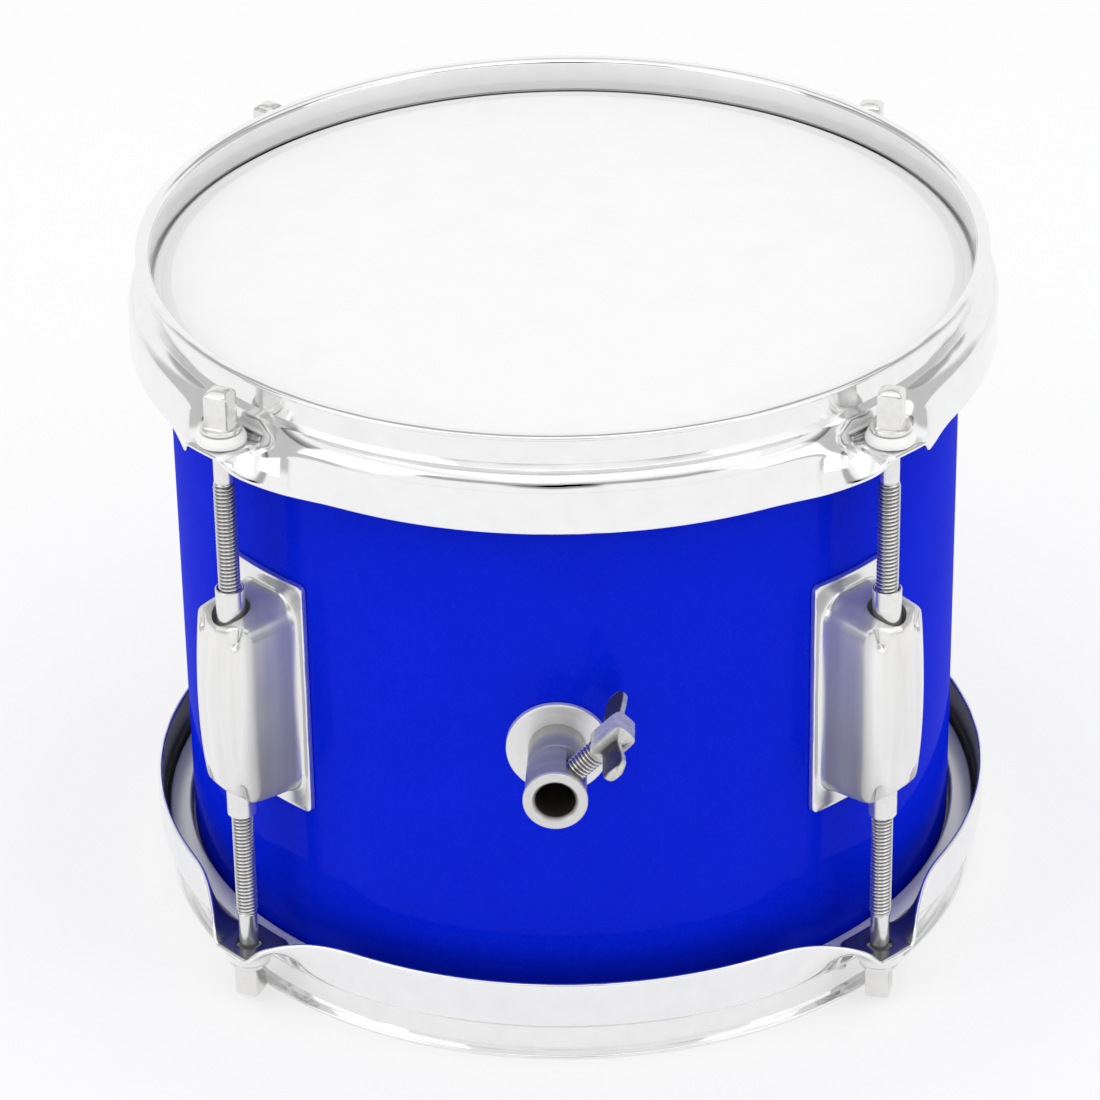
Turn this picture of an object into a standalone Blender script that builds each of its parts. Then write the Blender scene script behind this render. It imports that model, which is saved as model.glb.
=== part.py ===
"""Eight inch rack tom of a junior drum kit, in metres with +Z up.

The drum stands on the lip of its bottom hoop at z = 0. Both ends carry the same hardware,
so each end piece is drawn once by its depth inside the lip and turned over for the top.
The tom bracket faces -Y, and the origin is under the middle of the whole object.
"""

import math

import bmesh
import bpy
from mathutils import Matrix, Vector

# Shell and the drum's height
SHELL_RADIUS = 0.1016
SHELL_WALL = 0.005
DRUM_HEIGHT = 0.1815
BEARING_EDGE = 0.0015
WRAP_SHEET = 0.0005
WRAP_MARGIN = 0.001
WRAP_LAP_ANGLE = math.radians(112)
WRAP_LAP_WIDTH = 0.012
WRAP_LAP_RISE = 0.0004

# Running gap between pieces that rest on each other
FIT_GAP = 0.0003

# Heads
HEAD_FILM = 0.0004
CROWN_RISE = 0.0002
FLESH_CLEARANCE = 0.0014
FLESH_WIDTH = 0.0034
FLESH_HEIGHT = 0.0045

# Pressed steel hoop, by the middle of its sheet
HOOP_SHEET = 0.0012
HOOP_OVERLAP = 0.0001
LIP_WIDTH = 0.0024
HOOP_WALL_DEPTH = 0.0086
STEP_WIDTH = 0.0011
STEP_DROP = 0.0013
SKIRT_BEND_LENGTH = 0.00375
SKIRT_END_LENGTH = 0.0089
SKIRT_BEND_ANGLES = (38, 72)
EAR_DROP = 0.0061
EAR_BEND_RADIUS = 0.0012
EAR_MARGIN = 0.006
EAR_FLAT_ANGLE = 2.9
EAR_BLEND_ANGLE = 16.4
EAR_TRIM = 0.33
EAR_TRIM_ANGLE = 5.8

# Lugs stand at mid height on these compass points
LUG_ANGLES = {
    "front_left": math.radians(-135),
    "front_right": math.radians(-45),
    "rear_right": math.radians(45),
    "rear_left": math.radians(135),
}
ROD_STANDOFF = 0.0126
LUG_FRONT = 0.008
LUG_BODY_HALF_WIDTH = 0.0112
LUG_PLATE_THICKNESS = 0.0015
LUG_PLATE_HALF_WIDTH = 0.0134
LUG_PLATE_LEDGE = 0.0046
LUG_PLATE_CORNER = 0.0018
LUG_BODY_HALF_HEIGHT = 0.0287
LUG_END_WALL = 0.0062
LUG_BACK_HALF_WIDTH = 0.008
LUG_SCREW_INSET = 0.004
LUG_SCREW_BOSS = 0.0055
LUG_SCREW_RADIUS = 0.0019
LUG_SCREW_HEAD_RADIUS = 0.004
LUG_SCREW_HEAD_HEIGHT = 0.0026
LUG_SCREW_BITE = 0.0045

# Swivel nuts and the sleeve that keeps two of them apart
NUT_COLLAR_WALL = 0.0006
NUT_STANDOFF = 0.0046
NUT_PLAY = 0.0012
NUT_FLANGE_CATCH = 0.0004
NUT_FLANGE_THICKNESS = 0.003
SPACER_WALL = 0.0009

# Tension rods
ROD_THREAD_RADIUS = 0.0028
ROD_STEM_RADIUS = 0.00225
ROD_STEM_LENGTH = 0.011
ROD_TIP_INSET = 0.0065
ROD_FLANGE_RADIUS = 0.00515
ROD_FLANGE_THICKNESS = 0.0012
KEY_HEAD_SIDE = 0.00635
KEY_HEAD_HEIGHT = 0.0098
KEY_HEAD_ROUND = 0.0012
KEY_HEAD_TURNS = {"front_left": 0, "front_right": 20, "rear_right": 35, "rear_left": 10}
WASHER_RADIUS = 0.0063
WASHER_THICKNESS = 0.0028

# Tom bracket
BRACKET_ANGLE = math.radians(-90)
PLATE_RADIUS = 0.01285
PLATE_THICKNESS = 0.0013
SOCKET_LENGTH = 0.0237
SOCKET_BORE_RADIUS = 0.00485
SOCKET_WEB = 0.0011
SOCKET_BASE_RADIUS = 0.0073
SOCKET_BASE_LENGTH = 0.0094
SOCKET_BODY_RADIUS = 0.0077
SOCKET_RING_RADIUS = 0.008
SOCKET_RING_LENGTH = 0.0016
SOCKET_CHAMFER = 0.0004
BRACKET_BOLT_RADIUS = 0.003
BRACKET_BOLT_BITE = 0.0038
BRACKET_BOLT_HEX = 0.01
BRACKET_BOLT_HEAD = 0.004
BACKING_RADIUS = 0.012
BACKING_THICKNESS = 0.0015

# Wing bolt of the bracket
STUD_FROM_MOUTH = 0.007
STUD_ANGLE = math.radians(45)
STUD_RADIUS = 0.003
STUD_TIP_RECESS = 0.00025
STUD_CHAMFER = 0.0005
STUD_IN_HUB = 0.0047
HUB_STANDOFF = 0.0078
HUB_LENGTH = 0.0112
HUB_WIDTH = 0.008
HUB_THICKNESS = 0.0066
WING_HALF_SPAN = 0.018
WING_WIDTH = 0.0068
WING_THICKNESS = 0.0026
WING_SWEEP = 0.0022
WING_ROOT_LIFT = 0.0038

# Air vent at the back
VENT_ANGLE = math.radians(90)
VENT_HOLE_RADIUS = 0.0058
VENT_BORE_RADIUS = 0.0043
VENT_FLANGE_RADIUS = 0.0085
VENT_FLANGE_THICKNESS = 0.0008

# Facets around the drum and around small round pieces
DRUM_SIDES = 48
SOCKET_SIDES = 16
ROD_SIDES = 16
NUT_SIDES = 10
SCREW_SIDES = 6
HOOP_STATIONS = (5.0, 8.0, 13.0, 21.0, 29.0, 37.0)

# Places that follow from the sizes above
MID_HEIGHT = DRUM_HEIGHT / 2
WRAP_INNER_RADIUS = SHELL_RADIUS + FIT_GAP
WRAP_RADIUS = WRAP_INNER_RADIUS + WRAP_SHEET
SEAT_RADIUS = WRAP_RADIUS + FIT_GAP
SHELL_INNER_RADIUS = SHELL_RADIUS - SHELL_WALL
FLESH_INNER_RADIUS = SHELL_RADIUS + FLESH_CLEARANCE
FLESH_OUTER_RADIUS = FLESH_INNER_RADIUS + FLESH_WIDTH
HOOP_WALL_RADIUS = FLESH_OUTER_RADIUS - HOOP_OVERLAP
FILM_RIM_RADIUS = HOOP_WALL_RADIUS - HOOP_SHEET / 2 - 2 * FIT_GAP
LIP_RADIUS = HOOP_WALL_RADIUS + LIP_WIDTH
STEP_RADIUS = HOOP_WALL_RADIUS + STEP_WIDTH
STEP_DEPTH = HOOP_WALL_DEPTH + STEP_DROP
HEAD_DEPTH = HOOP_WALL_DEPTH - CROWN_RISE
EDGE_DEPTH = HEAD_DEPTH + HEAD_FILM + FIT_GAP
ROD_CIRCLE_RADIUS = SEAT_RADIUS + ROD_STANDOFF
EAR_DEPTH = STEP_DEPTH + EAR_DROP
EAR_EDGE_RADIUS = ROD_CIRCLE_RADIUS + EAR_MARGIN
EAR_HOLE_RADIUS = ROD_THREAD_RADIUS + 2 * FIT_GAP
ROD_THREAD_START = EAR_DEPTH + ROD_STEM_LENGTH
LUG_BODY_REACH = ROD_CIRCLE_RADIUS + LUG_FRONT
LUG_PLATE_HALF_HEIGHT = LUG_BODY_HALF_HEIGHT + LUG_PLATE_LEDGE
LUG_SHOULDER_HEIGHT = LUG_BODY_HALF_HEIGHT - LUG_END_WALL
LUG_SCREW_HEIGHT = LUG_SHOULDER_HEIGHT - LUG_SCREW_INSET
LUG_BACK_HALF_HEIGHT = LUG_SCREW_HEIGHT - LUG_SCREW_BOSS
NUT_COLLAR_HEIGHT = LUG_BODY_HALF_HEIGHT + NUT_STANDOFF
ROD_TIP_HEIGHT = LUG_SHOULDER_HEIGHT - ROD_TIP_INSET
NUT_COLLAR_RADIUS = ROD_THREAD_RADIUS + FIT_GAP + NUT_COLLAR_WALL
LUG_HOLE_RADIUS = NUT_COLLAR_RADIUS + NUT_PLAY
NUT_FLANGE_RADIUS = LUG_HOLE_RADIUS + NUT_FLANGE_CATCH
SOCKET_BASE = SEAT_RADIUS + PLATE_THICKNESS + FIT_GAP
SOCKET_MOUTH = SOCKET_BASE + SOCKET_LENGTH
BOLT_HOLE_END = SOCKET_BASE + BRACKET_BOLT_BITE + FIT_GAP
STUD_DISTANCE = SOCKET_MOUTH - STUD_FROM_MOUTH
STUD_TIP = SOCKET_BORE_RADIUS + STUD_TIP_RECESS
HUB_START = SOCKET_RING_RADIUS + HUB_STANDOFF
HUB_END = HUB_START + HUB_LENGTH
STUD_END = HUB_START + STUD_IN_HUB
WASHER_SEAT = EAR_DEPTH - FIT_GAP
ROD_FLANGE_SEAT = WASHER_SEAT - WASHER_THICKNESS - FIT_GAP
KEY_HEAD_BASE = ROD_FLANGE_SEAT - ROD_FLANGE_THICKNESS
SKIRT_REACH = HOOP_SHEET / 2 + STEP_RADIUS + sum(
    SKIRT_BEND_LENGTH * math.cos(math.radians(heading)) for heading in SKIRT_BEND_ANGLES)
AXIS_OFFSET = (STUD_DISTANCE + WING_HALF_SPAN - SKIRT_REACH) / 2


def clear_scene():
    for old in list(bpy.data.objects):
        bpy.data.objects.remove(old, do_unlink=True)


def finish_material(name, colour, roughness, metallic):
    """A Principled material with the piece's colour and finish."""
    material = bpy.data.materials.new(name)
    material.use_nodes = True
    shader = material.node_tree.nodes["Principled BSDF"]
    shader.inputs["Base Color"].default_value = (*colour, 1.0)
    shader.inputs["Roughness"].default_value = roughness
    shader.inputs["Metallic"].default_value = metallic
    return material


def mesh_from(bm, name, smooth_angle=35):
    """Close the bmesh into a named mesh with outward faces, smooth below the given angle."""
    bmesh.ops.recalc_face_normals(bm, faces=bm.faces)
    mesh = bpy.data.meshes.new(name)
    bm.to_mesh(mesh)
    bm.free()
    mesh.shade_smooth()
    mesh.set_sharp_from_angle(angle=math.radians(smooth_angle))
    return mesh


def place(name, mesh, material, location=(0, 0, 0), rotation=(0, 0, 0)):
    """Add an object for the mesh, on the drum's axis unless it is moved from there."""
    piece = bpy.data.objects.new(name, mesh)
    bpy.context.scene.collection.objects.link(piece)
    if material is not None:
        piece.data.materials.clear()
        piece.data.materials.append(material)
    piece.parent = drum_axis
    piece.location = location
    piece.rotation_euler = rotation
    return piece


def turned(name, profile, sides, ring=True, smooth_angle=35):
    """Spin a profile of (radius, height) points about Z; a ring's profile closes on itself."""
    bm = bmesh.new()
    points = [bm.verts.new((radius, 0, height)) for radius, height in profile]
    edges = [bm.edges.new(pair) for pair in zip(points, points[1:])]
    if ring:
        edges.append(bm.edges.new((points[-1], points[0])))
    bmesh.ops.spin(bm, geom=points + edges, cent=(0, 0, 0), axis=(0, 0, 1),
                   angle=math.tau, steps=sides, use_merge=True)
    bmesh.ops.remove_doubles(bm, verts=bm.verts, dist=1e-6)
    return mesh_from(bm, name, smooth_angle)


def lofted(name, loops, around=False, smooth_angle=35):
    """Skin loops of equally many points, with caps unless the loops run around in a ring."""
    bm = bmesh.new()
    rings = [[bm.verts.new(point) for point in loop] for loop in loops]
    steps = list(zip(rings, rings[1:]))
    if around:
        steps.append((rings[-1], rings[0]))
    for low, high in steps:
        for k in range(len(low)):
            after = (k + 1) % len(low)
            bm.faces.new((low[k], low[after], high[after], high[k]))
    if not around:
        bm.faces.new(rings[0])
        bm.faces.new(rings[-1])
    return mesh_from(bm, name, smooth_angle)


def add_cylinder(bm, radius, start, end, place_matrix, sides=NUT_SIDES):
    """Add a closed cylinder along local Z of the given frame."""
    middle = Matrix.Translation((0, 0, (start + end) / 2))
    bmesh.ops.create_cone(bm, cap_ends=True, segments=sides, radius1=radius, radius2=radius,
                          depth=end - start, matrix=place_matrix @ middle)


def add_box(bm, low, high, place_matrix=None):
    """Add a closed box between two opposite corners."""
    low = Vector(low)
    high = Vector(high)
    size = Matrix.Diagonal((*(high - low), 1))
    box = Matrix.Translation((low + high) / 2) @ size
    if place_matrix is not None:
        box = place_matrix @ box
    bmesh.ops.create_cube(bm, size=1, matrix=box)


def hidden_cutter(name, bm):
    """A tool body for a Boolean, drawn as wire and left out of the render."""
    cutter = place(name, mesh_from(bm, name), None)
    cutter.hide_render = True
    cutter.display_type = "WIRE"
    return cutter


def boolean(piece, tool, operation):
    modifier = piece.modifiers.new(operation.lower(), "BOOLEAN")
    modifier.operation = operation
    modifier.solver = "EXACT"
    modifier.object = tool


def applied(name, piece, tools):
    """The piece's mesh with its modifiers applied; the piece and its tools are removed."""
    bpy.context.view_layer.update()
    depsgraph = bpy.context.evaluated_depsgraph_get()
    mesh = bpy.data.meshes.new_from_object(piece.evaluated_get(depsgraph))
    mesh.name = name
    mesh.shade_smooth()
    mesh.set_sharp_from_angle(angle=math.radians(35))
    for used in [piece, *tools]:
        bpy.data.objects.remove(used, do_unlink=True)
    return mesh


def outward(angle):
    """Rotation whose local Z points out of the drum at this angle, with local Y up."""
    return (math.pi / 2, 0, angle + math.pi / 2)


def outward_matrix(angle, height):
    """Frame of a radial hole: local Z runs out from the drum's axis at this height."""
    turn = Matrix.Rotation(angle + math.pi / 2, 4, "Z") @ Matrix.Rotation(math.pi / 2, 4, "X")
    return Matrix.Translation((0, 0, height)) @ turn


def arc(centre, radius, start, end, count):
    """Points of a circular arc, angles in radians, both ends included."""
    angles = [start + (end - start) * k / (count - 1) for k in range(count)]
    return [(centre[0] + radius * math.cos(a), centre[1] + radius * math.sin(a)) for a in angles]


def shell_profile():
    """Plywood tube with a small outer round-over and a long inner cut at both edges."""
    crown = SHELL_RADIUS - BEARING_EDGE
    inner_cut = SHELL_WALL - BEARING_EDGE
    low = EDGE_DEPTH
    high = DRUM_HEIGHT - EDGE_DEPTH
    return [(SHELL_RADIUS, high - BEARING_EDGE), (SHELL_RADIUS, low + BEARING_EDGE), (crown, low),
            (SHELL_INNER_RADIUS, low + inner_cut), (SHELL_INNER_RADIUS, high - inner_cut),
            (crown, high)]


def wall_holes():
    """Cutter for every hole through shell and wrap: lug screws, bracket bolt and vent."""
    bm = bmesh.new()
    start = SHELL_INNER_RADIUS - SHELL_WALL
    end = WRAP_RADIUS + SHELL_WALL
    screw_hole = LUG_SCREW_RADIUS + 2 * FIT_GAP
    for angle in LUG_ANGLES.values():
        for side in (-1, 1):
            frame = outward_matrix(angle, MID_HEIGHT + side * LUG_SCREW_HEIGHT)
            add_cylinder(bm, screw_hole, start, end, frame, SCREW_SIDES)
    bolt_hole = BRACKET_BOLT_RADIUS + 2 * FIT_GAP
    add_cylinder(bm, bolt_hole, start, end, outward_matrix(BRACKET_ANGLE, MID_HEIGHT))
    add_cylinder(bm, VENT_HOLE_RADIUS, start, end, outward_matrix(VENT_ANGLE, MID_HEIGHT))
    return hidden_cutter("wall_hole_cutter", bm)


def make_shell(wood, holes):
    shell = place("shell", turned("shell", shell_profile(), DRUM_SIDES), wood)
    boolean(shell, holes, "DIFFERENCE")


def make_wrap(plastic, holes):
    """Thin covering round the shell, whose two ends lap over each other at the back."""
    low = EDGE_DEPTH + BEARING_EDGE + WRAP_MARGIN
    high = DRUM_HEIGHT - low
    lap_start = WRAP_LAP_ANGLE
    lap_end = WRAP_LAP_ANGLE + WRAP_LAP_WIDTH / WRAP_RADIUS
    ramp = math.radians(0.3)
    even = [math.tau * k / DRUM_SIDES for k in range(DRUM_SIDES)]
    lap_edges = [lap_start - ramp, lap_start, lap_end, lap_end + ramp]
    loops = []
    for angle in sorted(even + lap_edges):
        on_lap = lap_start <= angle <= lap_end
        outer = WRAP_RADIUS + (WRAP_LAP_RISE if on_lap else 0)
        section = [(WRAP_INNER_RADIUS, low), (outer, low), (outer, high), (WRAP_INNER_RADIUS, high)]
        loops.append([(r * math.cos(angle), r * math.sin(angle), z) for r, z in section])
    wrap = place("shell_wrap", lofted("shell_wrap", loops, around=True), plastic)
    boolean(wrap, holes, "DIFFERENCE")


def under_step(radius):
    """Depth of the underside of the hoop's step at this radius."""
    rise = STEP_DEPTH - HOOP_WALL_DEPTH
    run = STEP_RADIUS - HOOP_WALL_RADIUS
    length = math.hypot(rise, run)
    corner_radius = HOOP_WALL_RADIUS - HOOP_SHEET / 2 * rise / length
    corner_depth = HOOP_WALL_DEPTH + HOOP_SHEET / 2 * run / length
    return corner_depth + (radius - corner_radius) * rise / run


def flesh_top_depth():
    """The flesh hoop's outer top edge stays one gap below the hoop's sloping step."""
    rise = STEP_DEPTH - HOOP_WALL_DEPTH
    run = STEP_RADIUS - HOOP_WALL_RADIUS
    return under_step(FLESH_OUTER_RADIUS) + FIT_GAP * math.hypot(rise, run) / run


def flesh_profile():
    """Flesh hoop: a ring under the hoop's step, with the film's rim on its top face."""
    top = flesh_top_depth()
    return [(FLESH_INNER_RADIUS, top), (FLESH_OUTER_RADIUS, top),
            (FLESH_OUTER_RADIUS, top + FLESH_HEIGHT), (FLESH_INNER_RADIUS, top + FLESH_HEIGHT)]


def film_profile():
    """Film from the centre over the bearing edge, down its collar and out to its rim."""
    rim_bottom = flesh_top_depth() - FIT_GAP
    under = [(SHELL_RADIUS - BEARING_EDGE + FIT_GAP, HEAD_DEPTH + HEAD_FILM),
             (FLESH_INNER_RADIUS, rim_bottom), (FILM_RIM_RADIUS, rim_bottom)]
    over = [(radius, depth - HEAD_FILM) for radius, depth in reversed(under)]
    return [(0, HEAD_DEPTH + HEAD_FILM), *under, *over, (0, HEAD_DEPTH)]


def end_frames(angle_turn=0.0):
    """Location and rotation of the bottom and top end frames, whose Z is the depth."""
    return {
        "bottom": ((0, 0, 0), (0, 0, angle_turn)),
        "top": ((0, 0, DRUM_HEIGHT), (math.pi, 0, angle_turn)),
    }


def make_heads(film, ring_steel):
    film_mesh = turned("head_film", film_profile(), DRUM_SIDES, ring=False)
    flesh_mesh = turned("flesh_hoop", flesh_profile(), DRUM_SIDES)
    for end, head in (("top", "batter"), ("bottom", "resonant")):
        location, rotation = end_frames()[end]
        place(head + "_head", film_mesh, film, location, rotation)
        place(head + "_flesh_hoop", flesh_mesh, ring_steel, location, rotation)


def ear_bends():
    """Bends of the sheet at an ear: straight down, across a tight quarter bend, then flat out."""
    bend_chord = EAR_BEND_RADIUS * math.sqrt(2)
    drop = EAR_DEPTH + HOOP_SHEET / 2 - STEP_DEPTH - EAR_BEND_RADIUS
    flat = EAR_EDGE_RADIUS - STEP_RADIUS - EAR_BEND_RADIUS
    return ((drop, 90), (bend_chord, 45), (flat, 0))


def ear_share_at(offset):
    """One over the ear's flat, falling to nought along the twist, steeply at first."""
    along = (offset - EAR_FLAT_ANGLE) / EAR_BLEND_ANGLE
    return (1 - min(max(along, 0), 1)) ** 3


def skirt_bends(offset):
    """Bends of the sheet in the skirt, whose edge is trimmed shorter beside an ear."""
    beside = max(offset - EAR_FLAT_ANGLE, 0) / EAR_TRIM_ANGLE
    end_length = SKIRT_END_LENGTH * (1 - EAR_TRIM * math.exp(-beside ** 2))
    return [*((SKIRT_BEND_LENGTH, heading) for heading in SKIRT_BEND_ANGLES), (end_length, 90)]


def hoop_path(offset):
    """Middle line of the sheet as (radius, depth): lip, wall, step, then skirt or ear.

    Past the step each bend's heading goes from the skirt's to the ear's by the share of the
    ear at this offset, and its length by the square of that share, so the flat ear is soon
    as narrow as the skirt and then twists into it as on the pressed part.
    """
    ear_share = ear_share_at(offset)
    half = HOOP_SHEET / 2
    path = [(LIP_RADIUS, half), (HOOP_WALL_RADIUS, half), (HOOP_WALL_RADIUS, HOOP_WALL_DEPTH),
            (STEP_RADIUS, STEP_DEPTH)]
    radius, depth = path[-1]
    for skirt, ear in zip(skirt_bends(offset), ear_bends()):
        length = skirt[0] + (ear[0] - skirt[0]) * ear_share ** 2
        heading = math.radians(skirt[1] + (ear[1] - skirt[1]) * ear_share)
        radius += length * math.cos(heading)
        depth += length * math.sin(heading)
        path.append((radius, depth))
    return path


def hoop_angles():
    """Angles of the hoop's sections and their offset from the nearest ear, in degrees."""
    one_side = [0.0, EAR_FLAT_ANGLE, *HOOP_STATIONS, 45.0]
    quarter = [-offset for offset in reversed(one_side[1:])] + one_side[:-1]
    return [(45 + 90 * k + offset, abs(offset)) for k in range(4) for offset in quarter]


def hoop_sheet_mesh():
    """Middle surface of the hoop as a strip of quads round the drum."""
    bm = bmesh.new()
    sections = []
    for degrees, offset in hoop_angles():
        angle = math.radians(degrees)
        section = []
        for radius, depth in hoop_path(offset):
            section.append(bm.verts.new((radius * math.cos(angle), radius * math.sin(angle), depth)))
        sections.append(section)
    for here, following in zip(sections, sections[1:] + sections[:1]):
        for k in range(len(here) - 1):
            bm.faces.new((here[k], here[k + 1], following[k + 1], following[k]))
    return mesh_from(bm, "hoop_sheet", smooth_angle=40)


def make_hoops(chrome):
    """Both hoops: the pressed sheet given its thickness and drilled at its four ears."""
    bm = bmesh.new()
    reach = EAR_DEPTH + 4 * HOOP_SHEET
    for angle in LUG_ANGLES.values():
        centre = (ROD_CIRCLE_RADIUS * math.cos(angle), ROD_CIRCLE_RADIUS * math.sin(angle), 0)
        start = EAR_DEPTH - 2 * HOOP_SHEET
        add_cylinder(bm, EAR_HOLE_RADIUS, start, reach, Matrix.Translation(centre))
    drill = hidden_cutter("ear_drill", bm)
    sheet = place("hoop_blank", hoop_sheet_mesh(), chrome)
    solidify = sheet.modifiers.new("sheet", "SOLIDIFY")
    solidify.thickness = HOOP_SHEET
    solidify.offset = 0
    solidify.use_even_offset = True
    boolean(sheet, drill, "DIFFERENCE")
    hoop_mesh = applied("hoop", sheet, [drill])
    for end, (location, rotation) in end_frames().items():
        place(end + "_hoop", hoop_mesh, chrome, location, rotation)


def lug_section(reach, half_width, height):
    """Plan outline of the casing: straight sides, two slanted facets and a soft ridge."""
    depth = reach - SEAT_RADIUS
    shape = ((0.0, 1.0), (0.85, 0.92), (0.93, 0.64), (1.0, 0.0))
    right = [(SEAT_RADIUS + out * depth, side * half_width, height) for out, side in shape]
    left = [(x, -y, z) for x, y, z in reversed(right[:-1])]
    return right + left


def lug_body_mesh():
    """Casing body: sections stacked up the lug, drawn in at both rounded ends."""
    end_depth = LUG_BODY_REACH - SEAT_RADIUS
    stack = ((1.0, 0.23, 0.77), (0.92, 0.74, 0.84), (0.86, 0.87, 0.89), (0.78, 0.925, 0.93),
             (0.45, 0.975, 0.98), (0.0, 1.0, 1.0))
    upper = []
    for height, out, side in stack:
        reach = SEAT_RADIUS + out * end_depth
        upper.append((reach, side * LUG_BODY_HALF_WIDTH, height * LUG_BODY_HALF_HEIGHT))
    levels = [(reach, width, -height) for reach, width, height in upper] + upper[-2::-1]
    return lofted("lug_body", [lug_section(*level) for level in levels])


def lug_plate_mesh():
    """Base plate bent round the shell, with clipped corners."""
    outer = SEAT_RADIUS + LUG_PLATE_THICKNESS
    half_angle = math.asin(LUG_PLATE_HALF_WIDTH / outer)
    corner_angle = math.asin((LUG_PLATE_HALF_WIDTH - LUG_PLATE_CORNER) / outer)
    angles = (-half_angle, -corner_angle, -corner_angle / 3, corner_angle / 3, corner_angle, half_angle)
    loops = []
    for angle in angles:
        clipped = LUG_PLATE_CORNER if abs(angle) == half_angle else 0
        top = LUG_PLATE_HALF_HEIGHT - clipped
        section = [(SEAT_RADIUS, -top), (outer, -top), (outer, top), (SEAT_RADIUS, top)]
        loops.append([(r * math.cos(angle), r * math.sin(angle), z) for r, z in section])
    return lofted("lug_plate", loops)


def lug_hollows():
    """Cutter for the casing: nut channel, open back, rod holes and screw holes."""
    bm = bmesh.new()
    pocket = NUT_FLANGE_RADIUS + FIT_GAP
    channel_back = ROD_CIRCLE_RADIUS - NUT_FLANGE_RADIUS - 4 * FIT_GAP
    quarter = math.pi / 2
    outline = arc((ROD_CIRCLE_RADIUS, 0), pocket, quarter, -quarter, 7)
    outline = [(channel_back, pocket), *outline, (channel_back, -pocket)]
    loops = []
    for height in (-LUG_SHOULDER_HEIGHT, LUG_SHOULDER_HEIGHT):
        loops.append([(x, y, height) for x, y in outline])
    channel = lofted("nut_channel", loops)
    bm.from_mesh(channel)
    bpy.data.meshes.remove(channel)
    channel_tool = hidden_cutter("channel_cutter", bm)

    bm = bmesh.new()
    add_box(bm, (SEAT_RADIUS - SHELL_WALL, -LUG_BACK_HALF_WIDTH, -LUG_BACK_HALF_HEIGHT),
            (ROD_CIRCLE_RADIUS, LUG_BACK_HALF_WIDTH, LUG_BACK_HALF_HEIGHT))
    back_tool = hidden_cutter("back_cutter", bm)

    bm = bmesh.new()
    rod_axis = Matrix.Translation((ROD_CIRCLE_RADIUS, 0, 0))
    through = LUG_BODY_HALF_HEIGHT + LUG_SCREW_BITE
    add_cylinder(bm, LUG_HOLE_RADIUS, -through, through, rod_axis, NUT_SIDES + 2)
    rod_tool = hidden_cutter("rod_hole_cutter", bm)

    bm = bmesh.new()
    screw_hole = LUG_SCREW_RADIUS + FIT_GAP
    hole_end = SEAT_RADIUS + LUG_SCREW_BITE + FIT_GAP
    for side in (-1, 1):
        frame = outward_matrix(0, side * LUG_SCREW_HEIGHT)
        add_cylinder(bm, screw_hole, SEAT_RADIUS - SHELL_WALL, hole_end, frame, SCREW_SIDES)
    screw_tool = hidden_cutter("lug_screw_cutter", bm)
    return [channel_tool, back_tool, rod_tool, screw_tool]


def make_lugs(die_cast):
    """Four double ended casings, hollow and open at the back as they are cast."""
    body = place("lug_blank", lug_body_mesh(), die_cast)
    plate = place("lug_plate_blank", lug_plate_mesh(), die_cast)
    boolean(body, plate, "UNION")
    tools = lug_hollows()
    for tool in tools:
        boolean(body, tool, "DIFFERENCE")
    casing = applied("lug_casing", body, [plate, *tools])
    for name, angle in LUG_ANGLES.items():
        place("lug_casing_" + name, casing, die_cast, (0, 0, MID_HEIGHT), (0, 0, angle))


def make_lug_screws(steel):
    """Screws put in from inside the shell, two to a lug."""
    tip = SEAT_RADIUS + LUG_SCREW_BITE
    seat = math.sqrt(SHELL_INNER_RADIUS ** 2 - LUG_SCREW_HEAD_RADIUS ** 2) - 1.5 * FIT_GAP
    head = seat - LUG_SCREW_HEAD_HEIGHT
    profile = [(0, tip), (LUG_SCREW_RADIUS, tip), (LUG_SCREW_RADIUS, seat), (LUG_SCREW_HEAD_RADIUS, seat),
               (LUG_SCREW_HEAD_RADIUS * 0.8, head), (0, head)]
    screw = turned("lug_screw", profile, SCREW_SIDES, ring=False)
    for name, angle in LUG_ANGLES.items():
        for level, side in (("upper", 1), ("lower", -1)):
            height = MID_HEIGHT + side * LUG_SCREW_HEIGHT
            place(f"lug_screw_{level}_{name}", screw, steel, (0, 0, height), outward(angle))


def nut_profile():
    """Swivel nut by height above the drum's middle: flange inside, collar out of the casing."""
    bore = ROD_THREAD_RADIUS + FIT_GAP
    flange_top = LUG_SHOULDER_HEIGHT - FIT_GAP
    flange_low = flange_top - NUT_FLANGE_THICKNESS
    return [(bore, flange_low), (NUT_FLANGE_RADIUS, flange_low), (NUT_FLANGE_RADIUS, flange_top),
            (NUT_COLLAR_RADIUS, flange_top), (NUT_COLLAR_RADIUS, NUT_COLLAR_HEIGHT),
            (bore, NUT_COLLAR_HEIGHT)]


def spacer_profile():
    """Sleeve between the two nuts of a lug, clear of the rods that end inside it."""
    inner = ROD_THREAD_RADIUS + 2 * FIT_GAP
    outer = inner + SPACER_WALL
    end = LUG_SHOULDER_HEIGHT - NUT_FLANGE_THICKNESS - 2 * FIT_GAP
    return [(inner, -end), (outer, -end), (outer, end), (inner, end)]


def on_rod_circle(angle, height):
    return (ROD_CIRCLE_RADIUS * math.cos(angle), ROD_CIRCLE_RADIUS * math.sin(angle), height)


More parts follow.
